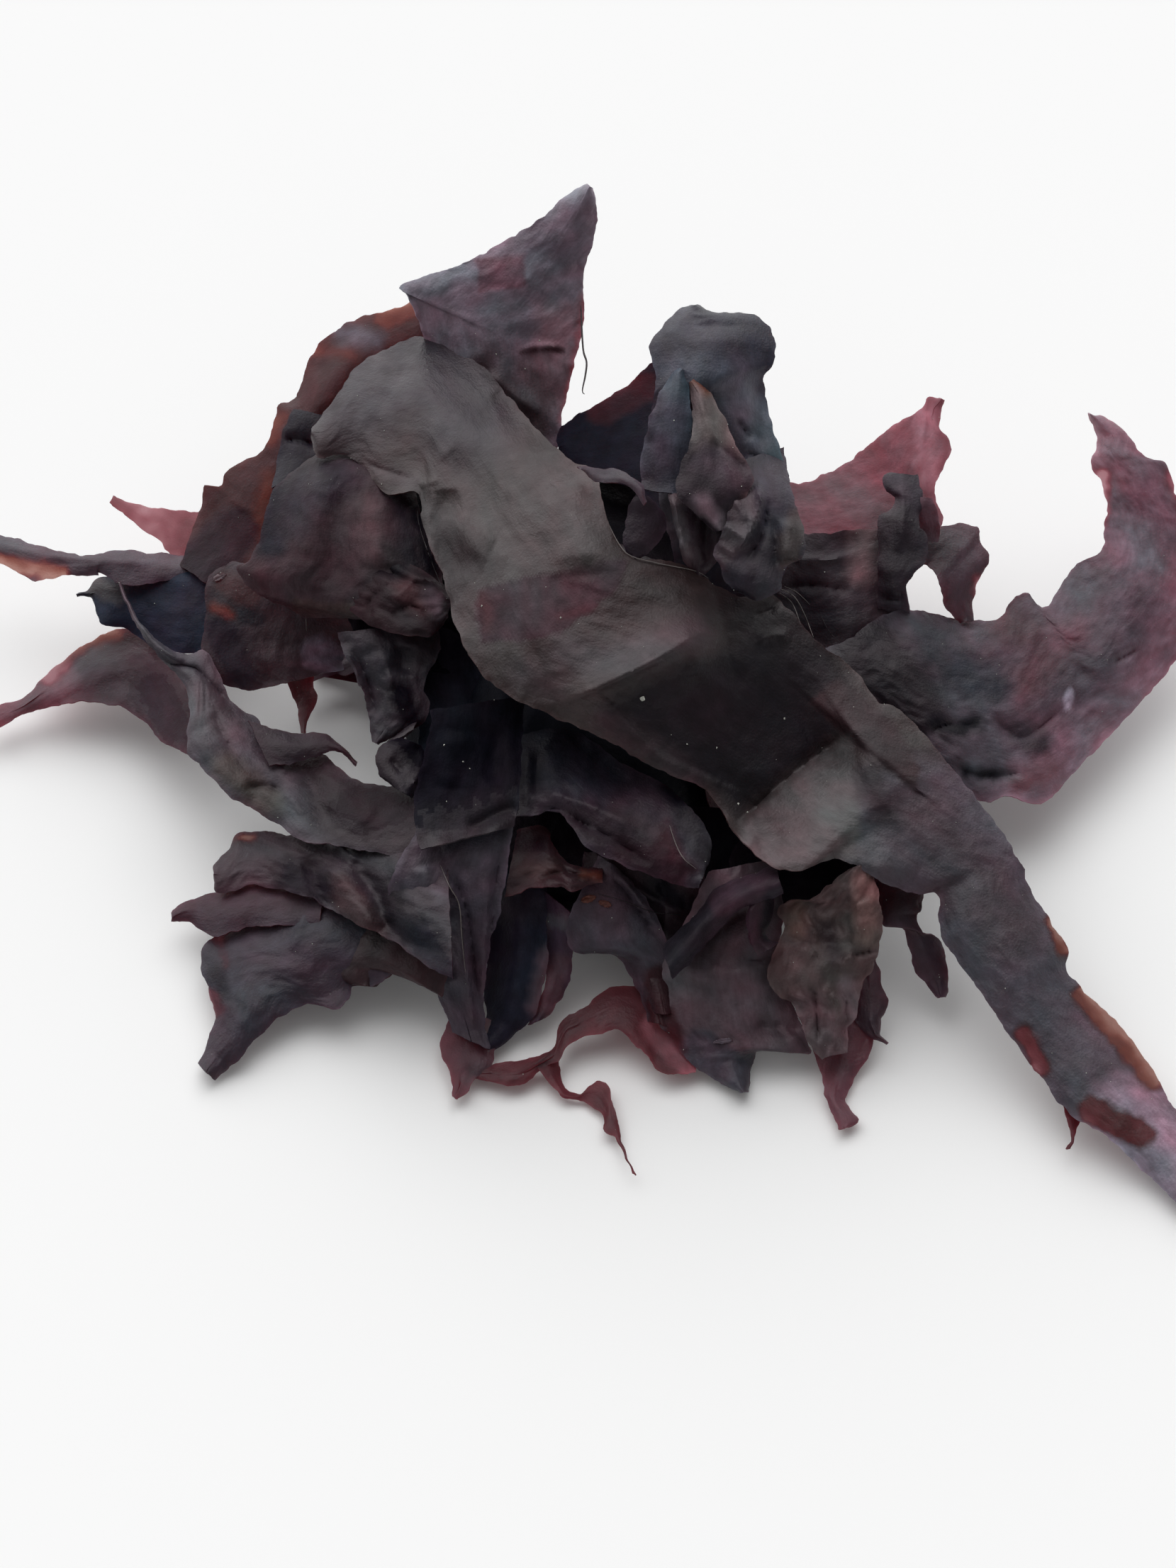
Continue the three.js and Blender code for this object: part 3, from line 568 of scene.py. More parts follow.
ragged_prong crown=1 tone=15,12,15 layers=4 wrinkle=1.5 gloss=soft
heights 28 45 51.5 54 57 58 59
left 248,178 247.8,166 247.8,152 248,146 250.6,144.6 252.8,140.4 249.6,137.4 249.4,134 250.6,133.4
right 258,178 256.4,170 256.2,164 260.6,158.6 262,152 259.4,148 259.8,144 260.6,139.6 259.8,137 258.6,133.8
crease 1.2 1.4 254,136 255,146 253,156
crease -1.4 0.8 248,169.4 252,168.8 256,169.4
patch 4 tone=34,28,33 soft=4 250,136 258,138
patch 3 tone=85,76,83 soft=4 248,172 256,172

ragged_arm crown=1 tone=42,32,37 layers=3
heights 51 46 43 39 33
left 254,149 266,148.5 271,147.5 276.5,149 276.5,153 279,156.5 277.5,161 275,166 274.5,175
right 254,160 261,159 264,162 266,168 267.5,172 271,175.5
patch 1.2 layers=1.3 275.6,163 275.6,167
patch 4.5 tone=22,19,23 soft=5 258,154 266,156

cap crown=3 tone=14,17,26 layers=4
heights 40 52 63 73 83 92 100 105 106
left 176,190 190,164 186,140 184,120 185,106 183.5,97.5 187,92 192,87 195,86
right 205,190 222,160 224,146 222,133 217.5,118 215.5,107 218.5,102 218.8,97 217,92 212,88.5 202,88 197,86
round 2 8 202,92 202,112
crease -1.8 0.9 208,118 212,124
crease -1.8 1 210,127 218,131 220,133
round -1.5 2.5 214,106 215,128
patch 5 tone=84,108,112 layers=6 gloss=soft soft=5 208,110 214,120 219,130
patch 3.6 tone=52,62,74 layers=5 soft=6 190,104 200,104.6 210,104
patch 4 tone=120,112,115 layers=5 gloss=soft soft=4 186,141 190,150

cap_wing crown=1 tone=7,8,13 layers=3.4 gloss=dull
heights 78 74 70 64 60
left 196,106 185,102 178,108 170,113 160,119 157,124
right 198,140 188,144 180,138 172,136 164,133 158,128
patch 4 tone=26,13,16 layers=2.4 182,109 170,116

cap_leaf crown=2 tone=50,58,68 layers=4 gloss=soft
heights 88 93 98 102 104.5
left 181,138 181,130 182,124 184,116 188,108 192,103.6
right 196,140 197,132 195.6,124 195,116 194.6,110 193,104
crease 1.4 1 187,109 183.6,116 183,124
patch 5 tone=24,26,32 soft=7 182,137 190,133 197,136

brown_leaf crown=1.5 tone=118,86,74 layers=6 gloss=soft
heights 86.5 92 96.4 100.6 103
left 202,150 197,145.4 191,139 192,132 195,124 195.6,116 194.6,108
right 205,149 209,143 212.6,135 208.6,127 205,119.6 201.4,112.4 198.6,108.6 196,106.6
crease 1.4 1.2 197,110 200,120 205,130 207,140
crease -1.4 1 201,124 207,129 212,133
patch 1.4 tone=150,85,55 layers=1.5 pigment=orange 196,107.4 199.4,110
patch 0 tone=16,11,14 soft=5 188,129 200,125 208,127 216,133 209,143 203.6,150 187,140 z
patch 3.4 tone=50,36,41 soft=6 199,129 207,134
patch 2.6 tone=125,105,105 soft=4 198,142 203,149
patch 1.6 tone=90,68,62 soft=4 195.4,111 195.4,121
patch 1.2 tone=7,5,7 soft=2.4 195,125 192,132 191,139 197,145.4 203,150

lip crown=1 tone=46,36,41 layers=3 crumple=0.3 gloss=soft
heights 84 90 93 94 93
left 163,131.5 169,132 175,132.5 179,134.5 181.5,137.5 182.8,141
right 165.5,133 169,136 175,136 178.5,138 180.5,140 182,142

shoulder_flap crown=1 tone=blue layers=4 crumple=0.6 gloss=soft
heights 52 49 46 45
left 83,115 80,122 78,131 77,137.5
right 91,117 89,124 91.5,129 84,133.5
crease -2 1.5 80,124 85,124 90,126

lip_inner crown=1 tone=16,11,15 layers=5 crumple=0.3 gloss=soft
heights 92 88 84 80
left 180,139 177.6,143 176.4,149 176,154 178,157.6
right 183,140 187,143.6 188,148 185.4,153.6 180,158

under_left crown=2 tone=7,5,7 layers=8 crumple=1.6 gloss=dull
heights 44 49 47 44 40
left 98,126 93,134 96,150 97,164 99,176 106,188
right 120,124 133,134 136,150 140,164 139,176 130,190

under_top crown=3 tone=7,5,7 layers=8 crumple=1.6 gloss=dull
heights 48 54 55 53
left 166,119 159,127 163,140 170,154 182,168
right 184,118 198,126 204,140 209,154 206,170

under_middle crown=2 tone=7,5,7 layers=8 crumple=1.6 gloss=dull
heights 30 27 22 17
left 148,224 143,234 145,246 152,254 160,258
right 206,228 212,238 206,248 196,254 186,258

under_right crown=2 tone=7,5,7 layers=8 crumple=1.6 gloss=dull
heights 32 29 25
left 212,234 206,242 209,252 216,259
right 242,234 251,242 249,250 243,256

left_skirt crown=2 tone=brown layers=3.4 gloss=soft
heights 22 18 14 11
left 108,258 100,264 96,270 97,276 101,278
right 128,268 126,276 125,281 122,279 118,277 115,274 112,273.6 110,275 106,278

inner_edge crown=1 tone=grey layers=5 crumple=0.3
heights 42 40 38
left 117.5,203.5 112,206.5 107,211.5
right 116.5,206.5 112.5,208.8 108,212.8

cavity_face crown=1 tone=7,6,9 layers=6 gloss=dull
heights 60/55 55/52 50/49 47 45
left 122,200 120,212 117.5,222 117,232 119,239.5
right 148,196 147.4,208 147,218 146.5,228 145,233
round 2.5 2.5 120,238 130,239 136,236 145,230
round -2 2 132,234.6 140,230 146,227
round 1.5 4 128,206 127,222
round -1.5 3 140,204 139,222
patch 7 tone=10,9,12 soft=10 121,199 135,197 149,195
patch 0 tone=14,12,14 gloss=matte soft=7 118,229 132,227 146,221 147,234 119,240 z
patch 3 tone=grey gloss=soft soft=3 118,237 130,237.6 144,231

tube_fold crown=2 tone=dark layers=6 gloss=soft
heights 37 34 31 29
left 212,254 210.6,260 212,266 214,269.4
right 219,250 218,258 216,264 220,266
crease 2 0.9 212,255 211.2,260 212.4,266 214,269
patch 1.6 tone=black 217,254 216,264

ragged_light crown=0.5 tone=65,48,52 layers=3 gloss=soft
heights 50 55.4 59
left 257,152 257,145 259,140
right 264.6,153 265.5,147 263,140.5

centre_back crown=2 tone=24,13,16 layers=4 crumple=1.8 gloss=soft
heights 31 25 19 14 10
left 165,240 164,250 169,260 176,268 181,276 185,286
right 199,243 198,254 194,264 191,274 190,286
crease 1.8 1.1 170,244 182,252 192,257
crease -1.8 1.2 172,250 182,258 190,264
crease 1.4 1.2 186,246 188,256 187,268
patch 3 tone=black gloss=matte soft=4 186,250 194,256
patch 3 tone=red 184,272 188,284

cap_front crown=1 tone=24,16,19 layers=4 crumple=0.8 gloss=soft
heights 87/88 89 85/84 80/79 74/73
left 186,133 187.6,136 189,140 190,146 191.6,152 193,158 196.4,161.6
right 208,130 208.6,139 207,147 205,153 202,158.6 198,162.4
crease 2.4 1.5 189.6,138 191,145 193.6,158
round -2.2 2.4 200,140 199,150 199,160
patch 1.5 tone=70,60,58 gloss=satin 190,139 191.6,147 194.2,159
patch 0 tone=black gloss=matte 184,130 189,140 191,152 193,161 188,160 184,140 z
patch 1.6 tone=12,8,10 soft=3 200,142 199,158

cap_fold crown=1 tone=30,27,30 layers=4 crumple=0.8 gloss=soft
heights 90/84 91.5/87 88/84 83/80 78/75
left 205,131 206,138 205.4,145 203.4,151 201.6,156 203.6,160 205,164.4
right 221,126 223,136 225,144 227,150 226.4,157 221.6,160 220,166 214,169 208,167
crease 2.4 1.5 214,135 214.4,141 212,149 207,156
crease -2 1.2 216.4,141 215.4,150 211,158
round 1.6 2.4 222.6,146 222.6,158
crease -1.4 1 218.6,146 219,160
crease 1 0.9 207,140 211,147
crease 1.2 0.9 204.6,148 210,151.6
crease 1.2 0.8 202.6,153 208,157
patch 0 tone=44,36,37 gloss=satin soft=1.4 207,136 214.4,138 214,146 212,150 208,156 203.4,160 202.4,155
 205,147 z
patch 0 tone=16,14,18 soft=3 206,160 214,160 214,169 206,167 z
patch 0 tone=58,43,38 soft=2 219.6,144 226,143 227.4,150 225,159 220,160.4 z
patch 0 tone=34,36,42 soft=3 213,125 223,127 224,140 221,150 216,150 213,140 z
"""

# Large odd numbers that shuffle whole places into directions
SHUFFLE_X = 374761393
SHUFFLE_Y = 668265263
SHUFFLE_SEED = 1274126177
SHUFFLE_AGAIN = 1103515245
SHUFFLE_MASK = 0xFFFFFFFF


# Smooth noise over the plane, from -1 to 1
def noise(x, y, seed):
    x0 = np.floor(x).astype(np.int64)
    y0 = np.floor(y).astype(np.int64)

    def slope(ix, iy):
        spot = (ix * SHUFFLE_X + iy * SHUFFLE_Y + seed * SHUFFLE_SEED) & SHUFFLE_MASK
        spot = ((spot ^ (spot >> 13)) * SHUFFLE_AGAIN) & SHUFFLE_MASK
        turn = (spot ^ (spot >> 16)) / SHUFFLE_MASK * 2 * math.pi
        return np.cos(turn) * (x - ix) + np.sin(turn) * (y - iy)

    def ease(t):
        return t * t * t * (t * (6 * t - 15) + 10)

    fx = ease(x - x0)
    fy = ease(y - y0)
    near = slope(x0, y0) * (1 - fx) + slope(x0 + 1, y0) * fx
    far = slope(x0, y0 + 1) * (1 - fx) + slope(x0 + 1, y0 + 1) * fx
    return 1.5 * (near * (1 - fy) + far * fy)


def ridged(x, y, seed):
    return 1 - 2 * np.abs(noise(x, y, seed))


# An uneven form at places along and across
def uneven(form, s, t, seed, kind=noise):
    strength, along, across = form
    return strength * kind(s / along, t / across, seed)


# Points of a path written as text
def path(words):
    return np.array([[float(n) for n in pair.split(",")] for pair in words.split()])


# A surface colour by its name or its thousandths
def tone_of(words):
    return path(TONES.get(words, words))[0] / 1000


# What the words of a look stand for
def look(words):
    made = dict(word.split("=") for word in words)
    for key, value in made.items():
        if key == "tone":
            made[key] = tone_of(value)
        elif key == "pigment":
            made[key] = np.log(PIGMENTS[value])
        elif key == "gloss":
            made[key] = GLOSS[value]
        else:
            made[key] = float(value)
    return made


# The name and shape of each frond of the layout
def read_layout():
    for block in LAYOUT.strip().replace("\n ", " ").split("\n\n"):
        head, heights, left, right, *rows = [line.split() for line in block.split("\n")]
        levels = [[float(n) for n in word.split("/")] for word in heights[1:]]
        made = look(head[1:])
        made["heights"] = [(level[0], level[-1]) for level in levels]
        made["rails"] = [" ".join(words[1:]).split("|") for words in (left, right)]
        made["folds"] = []
        made["patches"] = []
        for kind, size, *words in rows:
            if kind == "patch":
                line = " ".join(word for word in words if "=" not in word)
                made["patches"].append((line, float(size), look(word for word in words if "=" in word)))
            else:
                made["folds"].append((kind, " ".join(words[1:]), float(size), float(words[0])))
        yield head[0], made


# Smooth curve through points, at places counted in points
def curve_at(points, k):
    points = np.asarray(points, float)
    last = len(points) - 1
    i = np.minimum(k.astype(int), last - 1)
    t = (k - i)[:, None]
    p0 = points[np.maximum(i - 1, 0)]
    p1 = points[i]
    p2 = points[i + 1]
    p3 = points[np.minimum(i + 2, last)]
    v0 = (p2 - p0) / 2
    v1 = (p3 - p1) / 2
    return (2 * (p1 - p2) + v0 + v1) * t**3 + (3 * (p2 - p1) - 2 * v0 - v1) * t**2 + v0 * t + p1


# The same curve at even steps, or its length where no count is given
def spline(points, count=None):
    last = len(points) - 1
    curve = curve_at(points, np.linspace(0, last, 40 * last + 1))
    run = np.concatenate([[0], np.cumsum(np.linalg.norm(np.diff(curve, axis=0), axis=1))])
    if count is None:
        return run[-1]
    even = np.linspace(0, run[-1], count + 1)
    return np.stack([np.interp(even, run, curve[:, c]) for c in range(curve.shape[1])], axis=1)


# The point at a height over the table that is seen at a place of the layout plane
def seen(place, height):
    up = VIEW_DOWN - place[..., 1]
    plane = np.stack(
        [place[..., 0] - VIEW_ACROSS, up * math.sin(VIEW_ELEVATION), up * math.cos(VIEW_ELEVATION)], axis=-1
    )
    sight = plane - EYE
    return EYE + sight * ((height - EYE[2]) / sight[..., 2])[..., None]


# How far places lie from a line of points, on which side, and how far along it
def beside(points, place):
    flat = place.reshape(-1, 1, 2)
    start = points[:-1]
    step = np.diff(points, axis=0)
    share = ((flat - start) * step).sum(-1) / (step**2).sum(-1)
    share = np.clip(share, 0, 1)
    away = flat - start - share[..., None] * step
    gap = np.linalg.norm(away, axis=-1)
    best = gap.argmin(axis=1)
    row = np.arange(len(flat))
    side = np.sign(step[best, 0] * away[row, best, 1] - step[best, 1] * away[row, best, 0])
    run = (best + share[row, best]) / len(step)
    return [found.reshape(place.shape[:-1]) for found in (gap[row, best], side, run)]


def smooth_line(words):
    points = path(words)
    return spline(points, 16) if len(points) > 2 else points


# How far places lie from a line, or from a closed outline, as minus numbers inside it
def off_patch(words, place):
    if not words.endswith("z"):
        return beside(smooth_line(words), place)[0]
    corners = path(words.rstrip(" z"))
    corners = np.concatenate([corners, corners[:1]])
    gap = beside(corners, place)[0]
    inside = np.zeros(gap.shape, bool)
    for (x0, y0), (x1, y1) in zip(corners[:-1], corners[1:]):
        crossed = (y0 > place[..., 1]) != (y1 > place[..., 1])
        reach = x0 + (place[..., 1] - y0) * (x1 - x0) / ((y1 - y0) or 1)
        inside ^= crossed & (place[..., 0] < reach)
    return np.where(inside, -gap, gap)


# Which way each point of a grid faces
def facing(grid):
    out = np.cross(np.gradient(grid, axis=0), np.gradient(grid, axis=1))
    return out / np.maximum(np.linalg.norm(out, axis=-1, keepdims=True), 1e-9)


# A closed thin sheet over a grid of points, with its colours
def plate(grid, tone, layers, dye, finish, grain):
    rows, columns = grid.shape[:2]
    half = facing(grid) * THICKNESS / 2
    index = np.arange(rows * columns).reshape(rows, columns)
    quads = np.stack([index[:-1, :-1], index[1:, :-1], index[1:, 1:], index[:-1, 1:]], axis=-1).reshape(-1, 4)
    rim = np.concatenate([index[0, :-1], index[:-1, -1], index[-1, :0:-1], index[:0:-1, 0]])
    ahead = np.roll(rim, -1)
    far = rows * columns
    walls = np.stack([rim, ahead, far + ahead, far + rim], axis=-1)
    wall = np.exp(dye * np.clip(layers, FEWEST_LAYERS, MOST_LAYERS)[..., None] / 2)
    thin = wall.max(axis=-1) / BRIGHTEST_THROUGH
    through = wall / np.maximum(thin, 1e-6)[..., None]
    both = dict(tone=tone, through=through, thin=thin, finish=finish, grain=grain)
    made = {key: np.concatenate([value.reshape(far, -1)] * 2) for key, value in both.items()}
    made["points"] = np.concatenate([(grid + half).reshape(-1, 3), (grid - half).reshape(-1, 3)])
    made["faces"] = np.concatenate([quads, far + quads[:, ::-1], walls])
    return made


# One piece of the clump
def mesh_piece(name, points, faces, materials):
    mesh = bpy.data.meshes.new(name)
    mesh.from_pydata(((np.asarray(points) + CLUMP_SHIFT) * MM).tolist(), [], faces)
    mesh.polygons.foreach_set("use_smooth", np.ones(len(mesh.polygons), bool))
    mesh.set_sharp_from_angle(angle=SHARP_FOLD)
    for material in materials:
        mesh.materials.append(material)
    piece = bpy.data.objects.new(name, mesh)
    bpy.context.collection.objects.link(piece)
    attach(piece, "root")
    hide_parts("dulse_clump")
    return piece


# A colour or number for each point of a piece
def point_layer(piece, name, kind, field, values):
    layer = piece.data.attributes.new(name, kind, "POINT")
    layer.data.foreach_set(field, np.ascontiguousarray(values, np.float32).ravel())


def colour_layer(piece, name, colours):
    point_layer(piece, name, "FLOAT_COLOR", "color", np.column_stack([colours, np.ones(len(colours))]))


# Thin sheets joined into one piece
def sheets(name, plates):
    starts = np.cumsum([0] + [len(p["points"]) for p in plates])
    joined = {key: np.concatenate([p[key] for p in plates]) for key in plates[0] if key != "faces"}
    faces = np.concatenate([p["faces"] + start for p, start in zip(plates, starts)])
    piece = mesh_piece(name, joined["points"], faces.tolist(), DULSE.values())
    finish = joined["finish"][faces[:, 0], 0].astype(np.int32)
    piece.data.polygons.foreach_set("material_index", finish)
    colour_layer(piece, "tone", joined["tone"])
    colour_layer(piece, "through", joined["through"])
    point_layer(piece, "thin", "FLOAT", "value", joined["thin"])
    point_layer(piece, "grain", "FLOAT_VECTOR", "vector", joined["grain"])


# Faces of a closed tube over rings of points
def tube_faces(rings, sides, first=0):
    index = first + np.arange(rings * sides).reshape(rings, sides)
    ahead = np.roll(index, -1, axis=1)
    walls = np.stack([index[:-1], ahead[:-1], ahead[1:], index[1:]], axis=-1).reshape(-1, 4)
    return walls.tolist() + [index[0][::-1].tolist(), index[-1].tolist()]


# Crumpling of a dried sheet, from broad swells to small creases
def crumpled(s, t, seed, wrinkle=1):
    swell = uneven(SWELL, s, t, seed)
    fold = uneven(FOLD, s, t, seed + 1, ridged)
    crease = uneven(CREASE, s, t, seed + 2, ridged)
    return swell + fold + wrinkle * crease


# How deep the pigment lies, and how light and warm the skin is; the rim is lightened, partly wear and partly
# a painted highlight
def skin(s, t, to_edge, layers, seed):
    depth = layers + uneven(DEPTH_BROAD, s, t, seed + 21) + uneven(DEPTH_FINE, s, t, seed + 22)
    depth = depth - EDGE_THINNING * layers * np.exp(-to_edge / EDGE_THINNING_REACH)
    shade = 1 + uneven(SHADE_BROAD, s, t, seed + 23) + uneven(SHADE_FINE, s, t, seed + 24)
    # Lighter rim along the edge: partly wear, partly a painted highlight
    shade = shade * (1 + EDGE_WEAR * np.exp(-to_edge / EDGE_WEAR_REACH))
    warmth = uneven(WARMTH_BROAD, s, t, seed + 25) + uneven(WARMTH_FINE, s, t, seed + 26)
    return depth, shade[..., None] * SKIN_CAST * np.exp(warmth[..., None] * WARM_SPOT)


# Where the fine streaks of the skin run
def streaks(s, t, seed):
    return np.stack(np.broadcast_arrays(*(k * n for k, n in zip(STREAK_STEPS, (s, t, seed)))), axis=-1)


# How high a fold lifts its frond
def fold_lift(kind, line, rise, reach, place):
    gap, side, run = beside(smooth_line(line), place)
    if kind == "step":
        return rise * np.clip(0.5 + side * gap / STEP_WIDTH, 0, 1) * np.exp(-gap / reach)
    fade = np.clip(np.minimum(run, 1 - run) / FOLD_FADE, 0, 1) ** FOLD_FADE_CURVE
    return rise * fade * np.exp(-((gap / reach) ** 2) if kind == "round" else -gap / reach)


# Places, points and facing of the fronds made so far
LAID = []


# One frond of the layout
def frond(
    name, seed, rails, heights, folds, patches, tone, layers, crown,
    pigment=np.log(PIGMENTS["purple"]), crumple=1, wrinkle=1, gloss=GLOSS["satin"],
):
    edges = [[], []]
    for k, pair in enumerate(zip(*rails)):
        lines = [path(words) for words in pair]
        steps = max(6, round(max(spline(line) for line in lines) / GRID))
        for side, line in enumerate(lines):
            edges[side].append(spline(line, steps)[min(k, 1):])
    start, end = [np.concatenate(edge) for edge in edges]
    width = np.linalg.norm(start - end, axis=1)
    columns = max(4, round(width.max() / GRID))
    v = np.linspace(0, 1, columns + 1)[None, :]
    place = start[:, None] * (1 - v[..., None]) + end[:, None] * v[..., None]
    rows = len(start)
    u = np.linspace(0, 1, rows)
    s = (u * rows * GRID)[:, None] + 0 * v
    t = (v - 0.5) * width[:, None]
    to_edge = np.minimum(np.minimum(v, 1 - v) * width[:, None], np.minimum(s, s[-1:] - s) + 1.5)

    # Torn, uneven edge
    x = place[..., 0]
    y = place[..., 1]
    for c in range(2):
        wobble = uneven(RAG_BROAD, x, y, seed + 11 + c) + uneven(RAG_FINE, x, y, seed + 13 + c)
        place[..., c] += EDGE_RAG * np.exp(-to_edge / EDGE_RAG_REACH) * wobble

    level = curve_at(heights, u * (len(heights) - 1))
    height = level[:, :1] * (1 - v) + level[:, 1:] * v + crown * 4 * v * (1 - v)
    height = height + crumple * crumpled(s, t, seed, wrinkle)
    curl = EDGE_CURL * noise(s / EDGE_CURL_LENGTH, 0 * s + np.sign(t) * 3, seed + 5)
    height = height + curl * np.exp(-to_edge / EDGE_CURL_REACH)
    for fold in folds:
        height = height + fold_lift(*fold, place)

    depth, shade = skin(s, t, to_edge, layers, seed)
    colour = tone * shade
    dye = pigment + 0 * shade
    mirror = np.full(depth.shape, gloss)
    # Patches: the skin's own stains and colours, and also painted shade in hollows, gaps and valleys and
    # painted highlights on lit facets
    for line, reach, change in patches:
        gap = off_patch(line, place) + uneven(PATCH_RAG, x, y, seed + 31)
        weight = np.clip((reach - gap) / change.get("soft", 2) + 0.5, 0, 1)
        depth = depth + weight * (change.get("layers", layers) - layers)
        mirror = mirror + weight * (change.get("gloss", gloss) - mirror)
        weight = weight[..., None]
        dye = dye + weight * (change.get("pigment", pigment) - dye)
        colour = colour + weight * (change.get("tone", tone) * shade - colour)
    mirror = mirror + uneven(GLOSS_FLECK, x, y, seed + 33)
    # Gloss level for each point: the skin's own finish, lowered where shade is painted and raised for painted
    # highlights
    finish = np.argmin(np.abs(mirror[..., None] - np.array(list(GLOSS.values()))), axis=-1)
    grid = seen(place, np.maximum(height, TABLE_CLEARANCE))
    LAID.append((place, grid, facing(grid)))
    sheets(name, [plate(grid, colour, depth, dye, finish, streaks(s, t, seed))])


# Shader nodes of a material or of the world
class Nodes:
    def __init__(self, owner):
        owner.use_nodes = True
        self.tree = owner.node_tree
        self.tree.nodes.clear()

    # The outputs of a new node, with a value or another node's output for each input
    def node(self, kind, *inputs, **settings):
        made = self.tree.nodes.new("ShaderNode" + kind)
        inputs = dict(enumerate(inputs))
        for key, value in settings.items():
            if hasattr(made, key):
                setattr(made, key, value)
            else:
                inputs[key.replace("_", " ")] = value
        for key, value in inputs.items():
            if isinstance(value, bpy.types.NodeSocket):
                self.tree.links.new(value, made.inputs[key])
            else:
                made.inputs[key].default_value = value
        return made.outputs

    # Noise over a place, spread from one number to another
    def spread(self, place, low, high, **values):
        cloud = self.node("TexNoise", Vector=place, **values)["Fac"]
        spread = self.node("MapRange", Value=cloud, From_Min=0.3, From_Max=0.7, To_Min=low, To_Max=high)
        return spread["Result"]


def dulse_material(name, gloss):
    material = bpy.data.materials.new(name)
    tree = Nodes(material)
    node = tree.node
    where = node("TexCoord")["Object"]
    tone = node("Attribute", attribute_name="tone")["Color"]
    through = node("Attribute", attribute_name="through")["Color"]
    thin = node("Attribute", attribute_name="thin")["Fac"]
    grain = node("Attribute", attribute_name="grain")["Vector"]

    # Mottled and streaked colour on a satin skin that is drier in places
    blotch = tree.spread(where, 0.77, 1.23, Scale=260, Detail=6, Roughness=0.6)
    streak = tree.spread(grain, 0.84, 1.16, Scale=1, Detail=5, Roughness=0.65)
    mottled = node("VectorMath", tone, blotch, operation="MULTIPLY")["Vector"]
    streaked = node("VectorMath", mottled, streak, operation="MULTIPLY")["Vector"]
    dry = tree.spread(where, 0.34, 0.56, Scale=90, Detail=4, Roughness=0.6)

    # Leathery wrinkles, streaks along the frond and pores
    wrinkle = node("TexNoise", Vector=where, Scale=420, Detail=5, Roughness=0.62)["Fac"]
    pore = node("TexVoronoi", Vector=where, Scale=1500)["Distance"]
    relief = node("Math", pore, 0.25, wrinkle, operation="MULTIPLY_ADD")["Value"]
    furrow = node("Math", streak, 0.9, relief, operation="MULTIPLY_ADD")["Value"]
    bump = node("Bump", Strength=0.4, Distance=0.0006, Height=furrow)["Normal"]

    skin = node(
        "BsdfPrincipled", Base_Color=streaked, Roughness=dry, Normal=bump, Specular_IOR_Level=gloss,
        Specular_Tint=SHEEN_TINT,
    )
    glow = node("BsdfTranslucent", Color=through, Normal=bump)
    mix = node("MixShader", thin, skin["BSDF"], glow["BSDF"])
    node("OutputMaterial", Surface=mix["Shader"])
    return material


DULSE = {name: dulse_material(name, gloss) for name, gloss in GLOSS.items()}
for order, (name, shape) in enumerate(read_layout()):
    frond(name, 40 * order, **shape)

# The folded heap in the middle, near black and matte: painted shade that fills the view between the fronds
CORE_X = 3
CORE_Y = 10
CORE_REACH_X = 56
CORE_REACH_Y = 58
CORE_HEIGHT = 76
CORE_STEEPNESS = 1.4
CORE_TURNS = 120
CORE_LEVELS = 50
a = np.linspace(0, 2 * np.pi, CORE_TURNS, endpoint=False)[None, :]
inward = np.linspace(0, 0.995, CORE_LEVELS)[:, None]
lump = 1 + 0.07 * np.sin(3 * a + 1 + 4 * inward) + 0.05 * np.sin(5 * a + 6 * inward)
share = (1 - inward) * lump
x = CORE_X + CORE_REACH_X * share * np.cos(a)
y = CORE_Y + CORE_REACH_Y * share * np.sin(a)
z = CORE_HEIGHT * (1 - (1 - inward) ** CORE_STEEPNESS)
z = np.maximum(z + 2 * ridged(x / 14, y / 14, 77) * np.minimum(1, 6 * inward), 0.2)
heap = np.stack(np.broadcast_arrays(x, y, z), axis=-1).reshape(-1, 3)
core = mesh_piece("core", heap, tube_faces(CORE_LEVELS, CORE_TURNS), [DULSE["matte"]])
colour_layer(core, "tone", np.tile(tone_of("blue"), (len(heap), 1)))

# Fronds on the far side: a low tier that fans out to the table and an upper one that lies over the heap
BACK_LOW = dict(first=12, last=150, root=18, half=18, lengths=[62, 74, 58, 70, 82, 64, 78, 60, 70])
BACK_HIGH = dict(first=-34, last=138, root=6, half=15, lengths=[54, 60, 57, 52, 62, 50, 60, 52, 63, 55])
BACK_ROOT_HEIGHT = 50
BACK_TIP_HEIGHT = 7
BACK_LIFT = 5
BACK_LAYERS = 3.2
BACK_CLEFT = 0.34
BACK_CLEFT_WIDTH = 0.22
BACK_BEND = 0.3
BACK_SWAY = 0.25
BACK_SAG = 3
BACK_TWIST = 3
BACK_CRUMPLE = 2
BACK_CURL = 4
BACK_UNEVEN_WIDTH = 0.4
BACK_UNEVEN_TIP = (1.2, 5, 5)
BACK_RAG = (1.5, 4, 4)
BACK_RAG_REACH = 3
BACK_TONES = ["dark", "brown", "red", "grey", "26,16,22"]


